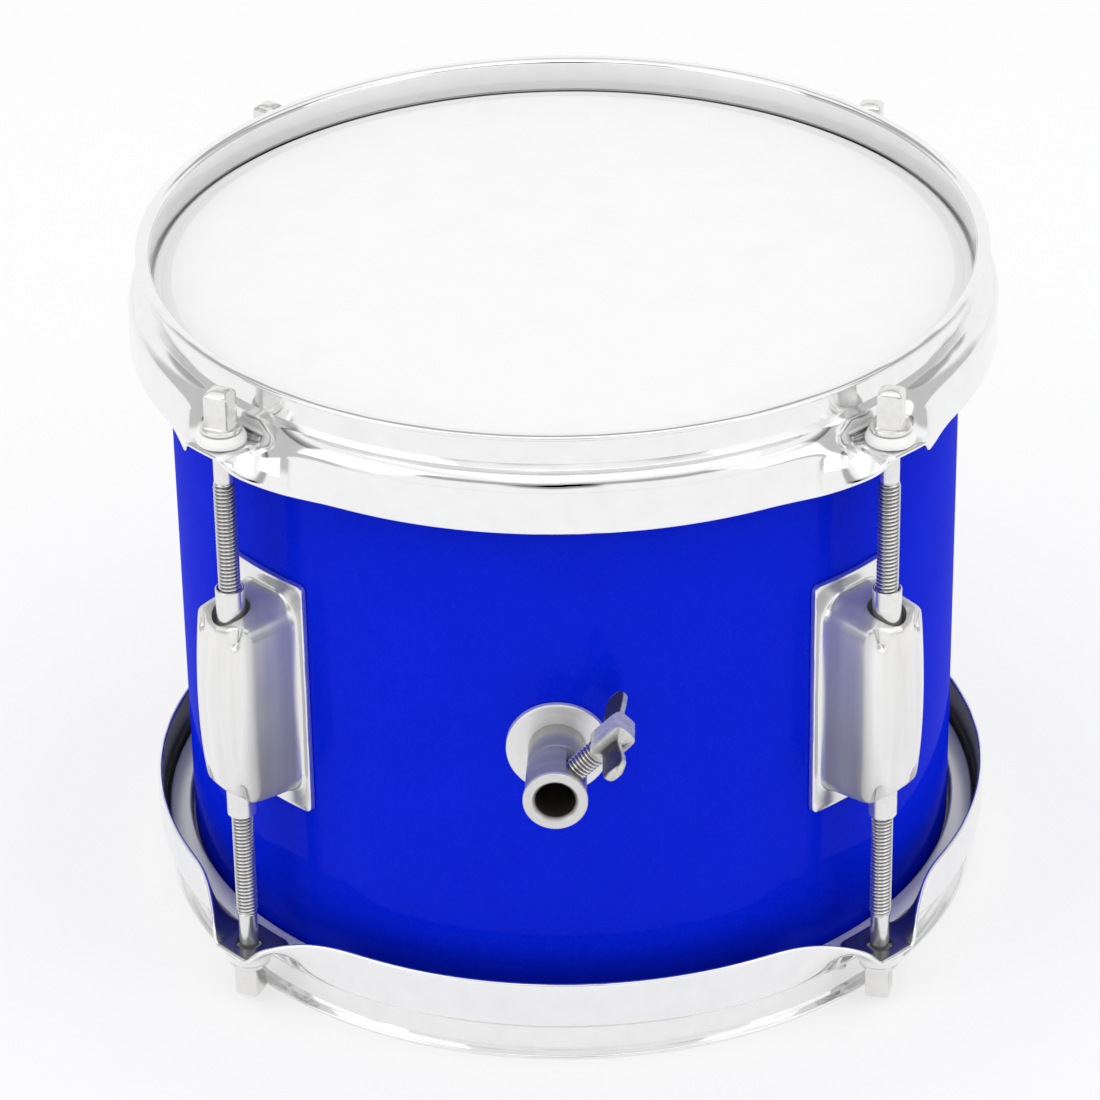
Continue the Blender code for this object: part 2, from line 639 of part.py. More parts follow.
def make_nuts(steel, nylon):
    nut = turned("swivel_nut", nut_profile(), NUT_SIDES)
    spacer = turned("nut_spacer", spacer_profile(), NUT_SIDES - 2)
    for name, angle in LUG_ANGLES.items():
        centre = on_rod_circle(angle, MID_HEIGHT)
        place("swivel_nut_top_" + name, nut, steel, centre, (0, 0, angle))
        place("swivel_nut_bottom_" + name, nut, steel, centre, (math.pi, 0, angle))
        place("nut_spacer_" + name, spacer, nylon, centre, (0, 0, angle))


def round_loop(radius, depth, count=ROD_SIDES):
    return [(radius * math.cos(math.tau * k / count), radius * math.sin(math.tau * k / count), depth)
            for k in range(count)]


def square_loop(side, corner, depth):
    """Loop around a square with clipped corners, its points near those of a round loop."""
    half = side / 2
    loop = []
    for k in range(ROD_SIDES):
        angle = math.tau * k / ROD_SIDES
        x = math.cos(angle)
        y = math.sin(angle)
        scale = half / max(abs(x), abs(y))
        clip = (2 * half - corner) / (abs(x) + abs(y))
        loop.append((x * min(scale, clip), y * min(scale, clip), depth))
    return loop


def rod_mesh():
    """Tension rod by depth: rounded key head, round flange, plain stem, threaded length."""
    head_top = KEY_HEAD_BASE - KEY_HEAD_HEIGHT
    corner = KEY_HEAD_SIDE / 12
    loops = [
        square_loop(KEY_HEAD_SIDE - 2 * KEY_HEAD_ROUND, corner, head_top),
        square_loop(KEY_HEAD_SIDE, corner, head_top + KEY_HEAD_ROUND),
        square_loop(KEY_HEAD_SIDE, corner, KEY_HEAD_BASE),
        round_loop(ROD_FLANGE_RADIUS, KEY_HEAD_BASE),
        round_loop(ROD_FLANGE_RADIUS, ROD_FLANGE_SEAT),
        round_loop(ROD_STEM_RADIUS, ROD_FLANGE_SEAT),
        round_loop(ROD_STEM_RADIUS, ROD_THREAD_START),
        round_loop(ROD_THREAD_RADIUS, ROD_THREAD_START),
        round_loop(ROD_THREAD_RADIUS, MID_HEIGHT - ROD_TIP_HEIGHT),
    ]
    return lofted("tension_rod", loops)


def washer_mesh():
    """Domed nylon washer by depth, wide on the ear and drawn in under the rod's flange."""
    bore = ROD_THREAD_RADIUS + FIT_GAP
    base = WASHER_SEAT
    crown = WASHER_SEAT - WASHER_THICKNESS
    shoulder = crown + WASHER_THICKNESS / 3
    profile = [(bore, base), (WASHER_RADIUS, base), (WASHER_RADIUS, shoulder), (ROD_FLANGE_RADIUS, crown),
               (bore, crown)]
    return turned("rod_washer", profile, NUT_SIDES)


def make_rods(steel, nylon):
    """Eight rods and washers; each rod's axis is the Z axis of its own object."""
    rod = rod_mesh()
    washer = washer_mesh()
    for name, angle in LUG_ANGLES.items():
        turn = angle + math.radians(KEY_HEAD_TURNS[name])
        for end, (location, rotation) in end_frames(turn).items():
            spot = on_rod_circle(angle, location[2])
            place(f"tension_rod_{end}_{name}", rod, steel, spot, rotation)
            place(f"rod_washer_{end}_{name}", washer, nylon, spot, rotation)


def socket_profile():
    """Tom socket by distance from the drum's axis: blind bolt hole behind, bore in front."""
    hole = BRACKET_BOLT_RADIUS + FIT_GAP
    step = SOCKET_BASE + SOCKET_BASE_LENGTH
    ring = SOCKET_MOUTH - SOCKET_RING_LENGTH
    bore_end = BOLT_HOLE_END + SOCKET_WEB
    return [(0, BOLT_HOLE_END), (hole, BOLT_HOLE_END), (hole, SOCKET_BASE),
            (SOCKET_BASE_RADIUS, SOCKET_BASE), (SOCKET_BASE_RADIUS, step),
            (SOCKET_BASE_RADIUS + SOCKET_CHAMFER / 2, step),
            (SOCKET_BODY_RADIUS, ring), (SOCKET_RING_RADIUS, ring),
            (SOCKET_RING_RADIUS, SOCKET_MOUTH - SOCKET_CHAMFER),
            (SOCKET_RING_RADIUS - SOCKET_CHAMFER, SOCKET_MOUTH),
            (SOCKET_BORE_RADIUS + SOCKET_CHAMFER, SOCKET_MOUTH),
            (SOCKET_BORE_RADIUS, SOCKET_MOUTH - SOCKET_CHAMFER),
            (SOCKET_BORE_RADIUS, bore_end), (0, bore_end)]


def plate_profile():
    """Round plate under the socket, thick enough to be hollowed to the drum's curve."""
    sag = SEAT_RADIUS - math.sqrt(SEAT_RADIUS ** 2 - PLATE_RADIUS ** 2)
    back = SEAT_RADIUS - 2 * sag
    front = SEAT_RADIUS + PLATE_THICKNESS
    hole = BRACKET_BOLT_RADIUS + FIT_GAP
    edge_front = SEAT_RADIUS + PLATE_THICKNESS / 3
    return [(hole, back), (PLATE_RADIUS, back), (PLATE_RADIUS, edge_front), (PLATE_RADIUS * 0.93, front),
            (hole, front)]


def stud_frame():
    """Frame of the clamping stud: local Z runs out of the socket at its angle."""
    centre = Matrix.Translation((0, -STUD_DISTANCE, MID_HEIGHT))
    return centre @ Matrix.Rotation(math.pi / 2 - STUD_ANGLE, 4, "Y")


def make_socket(steel):
    """Plate, socket with its tapped side hole, and the bolt and disc that hold them."""
    rotation = outward(BRACKET_ANGLE)
    spot = (0, 0, MID_HEIGHT)

    plate = place("bracket_plate", turned("bracket_plate", plate_profile(), SOCKET_SIDES), steel,
                  spot, rotation)
    bm = bmesh.new()
    reach = DRUM_HEIGHT / 2
    add_cylinder(bm, SEAT_RADIUS, -reach, reach, Matrix.Translation(spot), sides=DRUM_SIDES)
    curve_tool = hidden_cutter("drum_curve_cutter", bm)
    boolean(plate, curve_tool, "DIFFERENCE")

    mesh = turned("bracket_socket", socket_profile(), SOCKET_SIDES, ring=False)
    socket = place("bracket_socket", mesh, steel, spot, rotation)
    bm = bmesh.new()
    add_cylinder(bm, STUD_RADIUS + FIT_GAP, SOCKET_BORE_RADIUS / 2, SOCKET_RING_RADIUS * 2, stud_frame())
    stud_tool = hidden_cutter("stud_hole_cutter", bm)
    boolean(socket, stud_tool, "DIFFERENCE")


def make_bracket_fixing(steel):
    """Backing disc and hexagon bolt inside the shell."""
    rotation = outward(BRACKET_ANGLE)
    spot = (0, 0, MID_HEIGHT)
    hole = BRACKET_BOLT_RADIUS + FIT_GAP
    disc_front = math.sqrt(SHELL_INNER_RADIUS ** 2 - BACKING_RADIUS ** 2) - 1.5 * FIT_GAP
    disc_back = disc_front - BACKING_THICKNESS
    disc_profile = [(hole, disc_back), (BACKING_RADIUS, disc_back), (BACKING_RADIUS, disc_front),
                    (hole, disc_front)]
    disc = turned("backing_disc", disc_profile, NUT_SIDES)
    place("bracket_backing_disc", disc, steel, spot, rotation)

    tip = SOCKET_BASE + BRACKET_BOLT_BITE
    under_head = disc_back - FIT_GAP
    hex_radius = BRACKET_BOLT_HEX / math.sqrt(3)
    shank_loops = [round_loop(hex_radius, under_head - BRACKET_BOLT_HEAD, 6),
                   round_loop(hex_radius, under_head, 6),
                   round_loop(BRACKET_BOLT_RADIUS, under_head, 6),
                   round_loop(BRACKET_BOLT_RADIUS, tip, 6)]
    place("bracket_bolt", lofted("bracket_bolt", shank_loops), steel, spot, rotation)


def wing_outline():
    """Outline of both wings in the plane of stud and span: a swept, round-ended bow."""
    half = WING_WIDTH / 2
    middle = HUB_END - half - WING_ROOT_LIFT / 2
    tip_centre = WING_HALF_SPAN - half
    tip = arc((tip_centre, middle + WING_SWEEP), half, -math.pi / 2, math.pi / 2, 7)
    root_low = (HUB_WIDTH / 2, middle - half + WING_ROOT_LIFT / 3)
    root_high = (HUB_WIDTH / 2, middle + half - WING_ROOT_LIFT / 3)
    right = [root_low, *tip, root_high]
    left = [(-span, out) for span, out in reversed(right)]
    return right + left


def make_wing_bolt(steel):
    """Threaded stud and its wing handle, both on the stud's axis."""
    frame = stud_frame()
    rotation = frame.to_euler()
    spot = frame.to_translation()
    stud_profile = [(0, STUD_TIP), (STUD_RADIUS - STUD_CHAMFER, STUD_TIP),
                    (STUD_RADIUS, STUD_TIP + STUD_CHAMFER), (STUD_RADIUS, STUD_END), (0, STUD_END)]
    stud = turned("clamp_stud", stud_profile, NUT_SIDES, ring=False)
    place("clamp_stud", stud, steel, spot, rotation)

    bm = bmesh.new()
    add_box(bm, (-HUB_THICKNESS / 2, -HUB_WIDTH / 2, HUB_START), (HUB_THICKNESS / 2, HUB_WIDTH / 2, HUB_END))
    edges = [edge for edge in bm.edges if max(vert.co.z for vert in edge.verts) > HUB_START]
    bmesh.ops.bevel(bm, geom=edges, offset=HUB_THICKNESS / 7, segments=1, affect="EDGES")
    hub = place("hub_blank", mesh_from(bm, "hub"), steel, spot, rotation)

    half = WING_THICKNESS / 2
    loops = [[(x, span, out) for span, out in wing_outline()] for x in (-half, half)]
    wings = place("wing_blank", lofted("wings", loops), steel, spot, rotation)
    boolean(hub, wings, "UNION")

    bm = bmesh.new()
    add_cylinder(bm, STUD_RADIUS + FIT_GAP, STUD_TIP, STUD_END + FIT_GAP, Matrix())
    socket_tool = hidden_cutter("hub_hole_cutter", bm)
    socket_tool.location = spot
    socket_tool.rotation_euler = rotation
    boolean(hub, socket_tool, "DIFFERENCE")
    handle = applied("wing_handle", hub, [wings, socket_tool])
    place("wing_handle", handle, steel, spot, rotation)


def make_vent(steel):
    """Rolled eyelet through the shell, trapped by a flange on each side."""
    out_seat = WRAP_RADIUS + FIT_GAP
    in_seat = math.sqrt(SHELL_INNER_RADIUS ** 2 - VENT_FLANGE_RADIUS ** 2) - 1.5 * FIT_GAP
    tube = VENT_HOLE_RADIUS - 2 * FIT_GAP
    profile = [(VENT_BORE_RADIUS, in_seat - VENT_FLANGE_THICKNESS),
               (VENT_FLANGE_RADIUS, in_seat - VENT_FLANGE_THICKNESS), (VENT_FLANGE_RADIUS, in_seat),
               (tube, in_seat), (tube, out_seat), (VENT_FLANGE_RADIUS, out_seat),
               (VENT_FLANGE_RADIUS * 0.9, out_seat + VENT_FLANGE_THICKNESS),
               (VENT_BORE_RADIUS, out_seat + VENT_FLANGE_THICKNESS)]
    eyelet = turned("vent_eyelet", profile, NUT_SIDES + 2)
    place("vent_eyelet", eyelet, steel, (0, 0, MID_HEIGHT), outward(VENT_ANGLE))


clear_scene()
drum_axis = bpy.data.objects.new("drum_axis", None)
drum_axis.location = (0, AXIS_OFFSET, 0)
bpy.context.scene.collection.objects.link(drum_axis)

chrome = finish_material("chrome", (0.82, 0.82, 0.83), 0.08, 1.0)
die_cast = finish_material("polished_die_cast", (0.70, 0.70, 0.69), 0.28, 1.0)
bright_steel = finish_material("bright_steel", (0.72, 0.72, 0.73), 0.2, 1.0)
plywood = finish_material("plywood", (0.72, 0.53, 0.34), 0.6, 0.0)
blue_wrap = finish_material("blue_wrap", (0.005, 0.012, 0.62), 0.12, 0.2)
white_film = finish_material("coated_film", (0.93, 0.93, 0.92), 0.45, 0.0)
white_nylon = finish_material("white_nylon", (0.9, 0.9, 0.89), 0.35, 0.0)

holes = wall_holes()
make_shell(plywood, holes)
make_wrap(blue_wrap, holes)
make_heads(white_film, bright_steel)
make_hoops(chrome)
make_lugs(die_cast)
make_lug_screws(bright_steel)
make_nuts(bright_steel, white_nylon)
make_rods(chrome, white_nylon)
make_socket(bright_steel)
make_bracket_fixing(bright_steel)
make_wing_bolt(bright_steel)
make_vent(chrome)
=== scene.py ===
"""Finish and fine shapes of the eight inch rack tom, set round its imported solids.

Each new piece is a surface of numpy points: a profile turned about an axis, the hoop's
section carried round the drum, or level loops of a cast form. Lengths are in metres.
Points are worked out about the drum's own axis and moved onto it when they become a mesh.
"""

import math

import bmesh
import bpy
import numpy as np
from mathutils import Matrix, Vector


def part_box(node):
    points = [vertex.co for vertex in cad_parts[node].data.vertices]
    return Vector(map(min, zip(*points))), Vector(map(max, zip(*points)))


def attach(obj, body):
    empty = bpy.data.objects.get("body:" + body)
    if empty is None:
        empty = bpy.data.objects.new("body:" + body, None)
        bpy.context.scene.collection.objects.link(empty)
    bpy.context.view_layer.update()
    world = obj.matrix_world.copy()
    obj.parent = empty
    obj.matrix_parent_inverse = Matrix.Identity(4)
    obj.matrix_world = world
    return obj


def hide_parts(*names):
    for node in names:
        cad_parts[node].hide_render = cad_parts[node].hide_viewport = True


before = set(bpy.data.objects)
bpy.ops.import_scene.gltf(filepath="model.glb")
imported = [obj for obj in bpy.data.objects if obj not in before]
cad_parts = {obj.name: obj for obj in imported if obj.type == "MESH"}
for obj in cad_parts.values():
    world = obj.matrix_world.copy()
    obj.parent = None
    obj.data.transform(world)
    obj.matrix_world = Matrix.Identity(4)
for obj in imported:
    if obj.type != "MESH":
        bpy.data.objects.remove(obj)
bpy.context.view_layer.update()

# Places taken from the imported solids
shell_low, shell_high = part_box("shell")
AXIS_Y = (shell_low.y + shell_high.y) / 2
HEIGHT = shell_low.z + shell_high.z
MID = HEIGHT / 2

# Compass angles in degrees, the two ends, a unit, and the longest edge that a cut's clean-up closes
CORNERS = {"front_left": -135, "front_right": -45, "rear_right": 45, "rear_left": 135}
BRACKET_ANGLE = -90
VENT_ANGLE = 90
ENDS = ("bottom", "top")
MILLIMETRE = 0.001
SLIVER = 0.000002

# Covering and heads
WRAP_INNER = 0.1019
WRAP_OUTER = 0.1024
WRAP_EDGE = 0.0116
LAP_ANGLES = (112.0, 118.71)
LAP_RISE = 0.0004
LAP_RAMP = 0.12
SEAT_RADIUS = 0.1027
HEAD_DEPTH = 0.0084
FILM = 0.0004
FILM_FAN = 0.02
CROWN_RADIUS = 0.1001
FLESH_INNER = 0.103
FLESH_OUTER = 0.1064
FLESH_TOP = 0.00982
FLESH_HEIGHT = 0.0045
SHOULDER_RADIUS = 0.1091
SHOULDER_DEPTH = 0.0133
FILM_RIM = 0.1051
COLLAR_GAP = 0.0003

# Pressed hoop, by the middle of its sheet
SHEET = 0.0012
LIP_RADIUS = 0.1087
WALL_RADIUS = 0.1063
WALL_DEPTH = 0.0086
STEP_RADIUS = 0.1074
STEP_DEPTH = 0.0099
SKIRT_FOLD = 0.0069
SKIRT_LENGTH = 0.0165
SKIRT_QUARTER = 0.0025
SKIRT_HEADING = 17
STEP_HEADING = 50
STEP_TURN = 0.0006
STEP_GAIN = 0.0002
EAR_DROP = 0.00554
EAR_DEPTH = 0.016
EAR_BEND = 0.0012
EAR_EDGE = 0.1213
EAR_FLAT_ANGLE = 2.9
EAR_BLEND_ANGLE = 16.4
EAR_TRIM = 0.33
EAR_TRIM_ANGLE = 5.8
EAR_HOLE = 0.0034
ROD_CIRCLE = 0.1153

# Degrees between the hoop's sections, which are closer beside an ear
FINE_SPAN = 18.0
FINE_STEP = 0.45
COARSE_STEP = 1.5

# Painted shade on the inner face of the hoop: where its bright share falls by depth, and how far
FOLD_SHADE_RUN = 0.0012
FOLD_SHADED_SHARE = 0.15
WALL_SHADE_START = 0.001
WALL_SHADE_RUN = 0.002
WALL_SHADE = 0.25

# Rods, washers and swivel nuts
THREAD_RADIUS = 0.0028
THREAD_DEPTH = 0.00052
ROD_PITCH = 0.0254 / 24
STEM_RADIUS = 0.00245
THREAD_START = 0.027
THREAD_RUN_OUT = 0.001
ROD_TIP = 0.016
ROD_SIDES = 40
FLANGE_RADIUS = 0.00515
FLANGE_THICKNESS = 0.0012
FLANGE_SEAT = 0.0126
KEY_HALF = 0.003175
KEY_HEIGHT = 0.0098
KEY_DOME = 0.0018
KEY_TURNS = {"front_left": 23, "front_right": 33, "rear_right": 35, "rear_left": 10}
WASHER_SEAT = 0.0157
WASHER_RADIUS = 0.0063
WASHER_THICKNESS = 0.0028
WASHER_RIM = 0.0012
BORE_RADIUS = 0.0031
NUT_RADIUS = 0.0037
NUT_END = 0.0333
NUT_FLANGE_RADIUS = 0.0053
NUT_FLANGE_TOP = 0.0222
NUT_FLANGE_LOW = 0.0192

# Lug casing, in millimetres out from the drum's axis, across and up
LUG_PLATE_OUT = 104.2
LUG_PLATE_HALF_WIDTH = 13.0
LUG_PLATE_HALF_HEIGHT = 33.3
LUG_PLATE_CORNER = 1.0
LUG_PLATE_STEEPNESS = 40
LUG_PLATE_ROUND = 0.35
LUG_FOOT_OUT = 105.0
LUG_FILLET = 0.9
LUG_PEAK = 123.3
BARREL = 0.0038
LUG_RAYS = 220

# Its straight faces: the level at a place, the fall to each millimetre past it, and the way it faces
RIDGE = (LUG_PEAK, 0.194, 0, (1, 0))
FACET = (125.85, 0.548, 0, (1, 0))
WALL = (120.2, 18.8, 10.3, (1, 0))
CORNER = (107, 20, 20.21105, (0.9015, 0.4327))
LOW_CORNER = (107, 16, 26.849, (0.62, 0.785))
CHAMFER = (118.4, 1.7, 10.4, (1, 0))
END_FACE = (117.9, 4.57, 26.4, (0, 1))
END_ROLL = (120.6, 1.6, 24.7, (0, 1))
DIMPLE_DEPTH = 2.0
DIMPLE_PLACE = (6.4, 22.2)
DIMPLE_SIZE = (1.2, 1.7)

# How softly the faces meet
RIDGE_SOFTNESS = 0.3
FLANK_SOFTNESS = 9.0
CASING_SOFTNESS = 1.1
PLATE_SOFTNESS = 5.0

# Bore through the casing, in metres again, for the swivel nuts
LUG_HOLE = 0.0049
LUG_HOLE_HALF = 0.035

# Tom bracket
MOUTH = 0.128
SOCKET_BASE = 0.1043
PLATE_RADIUS = 0.01285
PLATE_FRONT = 0.104
PLATE_RIM = 0.0009
PLATE_SIDES = 96
BOLT_HOLE = 0.0033
BOLT_HOLE_END = 0.1084
SOCKET_FLOOR = 0.1095
SOCKET_BORE = 0.00485
SOCKET_FOOT = 0.0073
SOCKET_NECK = 0.0077
SOCKET_RING = 0.008
GROOVE_HEIGHT = 0.0094
RING_HEIGHT = 0.0016
MOUTH_CHAMFER = 0.001
MOUTH_RIM = 0.0058
STUD_DISTANCE = 0.121
STUD_ANGLE = math.radians(45)
STUD_RADIUS = 0.003
STUD_PITCH = 0.001
STUD_THREAD = 0.00055
STUD_HOLE = (0.003, 0.013)
STUD_TIP = 0.0051
STUD_END = 0.0205
HUB_START = 0.0142
HUB_END = 0.0252
HUB_SPAN = 0.0036
HUB_BLEND = 0.0016
HUB_THICK = 0.0033
HUB_POWER = 5.0
WING_BORE_START = 0.01
WING_SPAN = 0.018
WING_SIDES = 56
WING_ROWS = 120
WING_TIP = 0.0034
WING_START = 0.004
WING_HALF = 0.0026
WING_SPREAD = 0.0008
WING_MIDDLE = 0.0196
WING_RISE = 0.0012
WING_THICK = 0.0013
WING_POWER = 3.2

# Vent at the back: the eyelet, and the hole for it in the covering
VENT_BORE = 0.0043
VENT_TUBE = 0.0052
VENT_RIM = 0.0085
VENT_INNER = 0.0958
VENT_ROLL = 0.0008
VENT_HOLE = 0.0058
VENT_HOLE_ENDS = (0.09, 0.115)

# Fitted view of the photograph: a camera far off with a long lens
CAMERA_YAW = math.radians(1.954)
CAMERA_ELEVATION = math.radians(30.141)
CAMERA_ROLL = math.radians(-0.997)
CAMERA_DISTANCE = 1.321856
CAMERA_ASIDE = -0.004569
CAMERA_TARGET_HEIGHT = 0.087334
CAMERA_LENS = 162.79
CAMERA_SENSOR = 36
CAMERA_CLIP = 50


class Wire:
    """An output socket of a finish; arithmetic on it adds Math nodes."""

    def __init__(self, finish, socket):
        self.finish = finish
        self.socket = socket

    def math(self, operation, *values):
        """One Math node on these values or links."""
        settings = {"operation": operation}
        return self.finish.node("ShaderNodeMath", settings, dict(enumerate(values)))

    def __add__(self, other):
        return self.math("ADD", self, other)

    def __sub__(self, other):
        return self.math("SUBTRACT", self, other)

    def __rsub__(self, other):
        return self.math("SUBTRACT", other, self)

    def __mul__(self, other):
        return self.math("MULTIPLY", self, other)

    def power(self, exponent):
        return self.math("POWER", self, exponent)

    def between(self, low, high):
        """Share of the way from low to high, smooth at both ends."""
        values = {"Value": self, "From Min": low, "From Max": high}
        return self.finish.node("ShaderNodeMapRange", {"interpolation_type": "SMOOTHSTEP"}, values)

    __radd__ = __add__
    __rmul__ = __mul__


class Finish:
    """The nodes of one material, ending in its own Principled shader."""

    def __init__(self, name, metallic=0.0, tree=None):
        if tree is None:
            self.material = bpy.data.materials.new(name)
            self.material.use_nodes = True
            tree = self.material.node_tree
            self.shader = tree.nodes["Principled BSDF"]
            self.shader.inputs["Metallic"].default_value = metallic
        self.tree = tree

    def node(self, kind, settings=None, values=None, output=0):
        """Add a node, give it its settings, then the values or links of its sockets."""
        made = self.tree.nodes.new(kind)
        for key, value in (settings or {}).items():
            setattr(made, key, value)
        for key, value in (values or {}).items():
            self.feed(made.inputs[key], value)
        return Wire(self, made.outputs[output])

    def feed(self, socket, value):
        """Link a wire to the socket, or set the socket to a plain value."""
        if isinstance(value, Wire):
            self.tree.links.new(value.socket, socket)
        else:
            socket.default_value = value

    def place(self, kind="Object", scale=(1, 1, 1), shift=(0, 0, 0)):
        """Object or UV coordinates, moved and stretched."""
        wire = self.node("ShaderNodeTexCoord", output=kind)
        return self.node("ShaderNodeMapping", {}, {"Vector": wire, "Scale": scale, "Location": shift})

    def noise(self, scale, detail=2.0, vector=None):
        """Soft noise from 0 to 1 over the piece."""
        values = {"Scale": scale, "Detail": detail, "Vector": vector or self.place()}
        return self.node("ShaderNodeTexNoise", {}, values)

    def blend(self, share, first, second):
        """Colour between two, by a share from 0 to 1."""
        values = {0: share, 6: first, 7: second}
        return self.node("ShaderNodeMix", {"data_type": "RGBA"}, values, 2)

    def bright_share(self):
        """How much of the bright tone shows there, from the mesh's own attribute; low values paint shade on
        the hoops, casings, socket bore and thread roots.
        """
        return self.node("ShaderNodeAttribute", {"attribute_name": "bright_share"}, output="Fac")

    def bump(self, height, distance, strength=1.0, normal=None):
        """Normal of a relief of this height, on top of an earlier one."""
        values = {"Height": height, "Distance": distance, "Strength": strength}
        if normal is not None:
            values["Normal"] = normal
        return self.node("ShaderNodeBump", {}, values)

    def set(self, **values):
        """Feed the shader's sockets, named with underscores for spaces."""
        for key, value in values.items():
            self.feed(self.shader.inputs[key.replace("_", " ")], value)
        return self.material


def colour(red, green, blue):
    """Opaque colour."""
    return (red, green, blue, 1.0)


def chrome_plate():
    """Bright plate over pressed steel, with painted shade on the hoop's inner face.

    Shallow waves, a faint haze and fine polishing lines.
    """
    finish = Finish("chrome_plate", 0.92)
    waves = finish.noise(55.0, 1.0)
    haze = finish.noise(190.0, 3.0)
    lines = finish.noise(900.0, 2.0, finish.place(scale=(0.25, 0.25, 1.6)))
    bright_share = finish.bright_share()
    bright = finish.blend(haze, colour(0.84, 0.84, 0.845), colour(0.93, 0.93, 0.93))
    # Painted shade: near black where the hoop's inner face runs down the wall and past the step.
    tone = finish.blend(bright_share, colour(0.13, 0.13, 0.13), bright)
    normal = finish.bump(waves, 0.0009, 0.5)
    normal = finish.bump(lines, 0.000004, 0.3, normal)
    return finish.set(Base_Color=tone, Roughness=haze * 0.07 + 0.29 - bright_share * 0.24, Normal=normal)


def cast_plate():
    """Satin plate over die-cast zinc, bright on the front, with painted shade down the sides.

    It has soft swells, and streaks from buffing along its length.
    """
    finish = Finish("cast_plate")
    swells = finish.noise(60.0, 1.0)
    streaks = finish.noise(1.0, 2.0, finish.place(scale=(300.0, 300.0, 14.0)))
    bright_share = finish.bright_share()
    bright = finish.blend(streaks, colour(0.72, 0.715, 0.705), colour(0.95, 0.945, 0.935))
    # Painted shade: the casing's side walls get this darker, less metallic tone.
    painted_shade_tone = finish.blend(streaks, colour(0.26, 0.26, 0.255), colour(0.4, 0.4, 0.395))
    tone = finish.blend(bright_share, painted_shade_tone, bright)
    normal = finish.bump(swells, 0.0008, 0.35)
    normal = finish.bump(streaks, 0.00004, 0.2, normal)
    return finish.set(Base_Color=tone, Metallic=bright_share * 0.72 + 0.2, Roughness=streaks * 0.12 + 0.17,
                      Normal=normal)


def turned_steel():
    """Steel turned on a lathe about the socket's axis: rings and bands round it, painted shade in the bore.
    """
    finish = Finish("turned_steel", 0.5)
    rings = finish.noise(1.0, 2.0, finish.place(scale=(0.0, 5200.0, 0.0)))
    bands = finish.noise(1.0, 2.0, finish.place(scale=(0.0, 420.0, 0.0)))
    bright_share = finish.bright_share()
    bright = finish.blend(bands, colour(0.5, 0.497, 0.49), colour(0.86, 0.855, 0.84))
    # Painted shade: the bore is near black; the body below the ring gets half the bright tone.
    tone = finish.blend(bright_share, colour(0.06, 0.055, 0.05), bright)
    normal = finish.bump(rings, 0.0001, 0.9)
    return finish.set(Base_Color=tone, Roughness=bands * 0.12 + 0.18, Normal=normal)


def thread_steel():
    """Zinc plated rod steel, with dark oil and painted shade in the thread's roots by the bright share
    attribute.
    """
    finish = Finish("thread_steel", 0.85)
    mottle = finish.noise(700.0, 3.0)
    bright_share = finish.bright_share()
    bright = finish.blend(mottle, colour(0.74, 0.735, 0.725), colour(0.88, 0.875, 0.865))
    # Dark oil and painted shade in the thread's roots.
    tone = finish.blend(bright_share, colour(0.16, 0.155, 0.15), bright)
    grain = finish.noise(4000.0, 1.0)
    normal = finish.bump(grain, 0.00001, 0.3)
    return finish.set(Base_Color=tone, Roughness=mottle * 0.16 + 0.14, Normal=normal)


def cast_handle():
    """Casting of the wing handle: cloudy bright rims and hub, dark broad paddle faces."""
    finish = Finish("cast_handle", 0.3)
    cloud = finish.noise(500.0, 4.0)
    swells = finish.noise(200.0, 1.0)
    bright_share = finish.bright_share()
    bright = finish.blend(cloud, colour(0.36, 0.357, 0.35), colour(0.8, 0.795, 0.78))
    tone = finish.blend(bright_share, colour(0.05, 0.05, 0.049), bright)
    normal = finish.bump(swells, 0.0002, 0.3)
    return finish.set(Base_Color=tone, Roughness=cloud * 0.16 + 0.2, Normal=normal)


def blue_covering():
    """Deep blue plastic sheet: fine flakes under a clear face with a leathery ripple."""
    finish = Finish("blue_covering", 0.0)
    values = {"Scale": 2600.0, "Vector": finish.place()}
    flakes = finish.node("ShaderNodeTexVoronoi", {"feature": "F1"}, values, "Color")
    sparkle = finish.node("ShaderNodeSeparateColor", {}, {0: flakes}, 0).between(0.5, 1.0)
    cloud = finish.noise(45.0, 4.0)
    ripple = finish.noise(520.0, 3.0)
    deep = finish.blend(cloud, colour(0.001, 0.011, 0.62), colour(0.002, 0.017, 0.74))
    tone = finish.blend(sparkle * 0.3, deep, colour(0.006, 0.035, 0.86))
    normal = finish.bump(ripple, 0.00012, 0.3)
    finish.shader.inputs["Specular IOR Level"].default_value = 0.0
    finish.shader.inputs["Coat Weight"].default_value = 0.07
    finish.shader.inputs["Coat Roughness"].default_value = 0.06
    return finish.set(Base_Color=tone, Roughness=ripple * 0.12 + 0.1, Normal=normal)


def coated_film():
    """White drum head: sprayed coating with a fine tooth and faint mottling."""
    finish = Finish("coated_film", 0.0)
    mottle = finish.noise(70.0, 3.0)
    tooth = finish.noise(2200.0, 2.0)
    tone = finish.blend(mottle, colour(0.86, 0.86, 0.86), colour(0.9, 0.9, 0.895))
    normal = finish.bump(tooth, 0.00004, 0.4)
    return finish.set(Base_Color=tone, Roughness=tooth * 0.2 + 0.42, Normal=normal)


def white_nylon():
    """Moulded nylon, slightly uneven in gloss."""
    finish = Finish("white_nylon", 0.0)
    uneven = finish.noise(600.0, 2.0)
    tone = finish.blend(uneven, colour(0.9, 0.9, 0.895), colour(0.94, 0.94, 0.93))
    normal = finish.bump(uneven, 0.00003, 0.3)
    return finish.set(Base_Color=tone, Roughness=uneven * 0.15 + 0.28, Normal=normal)


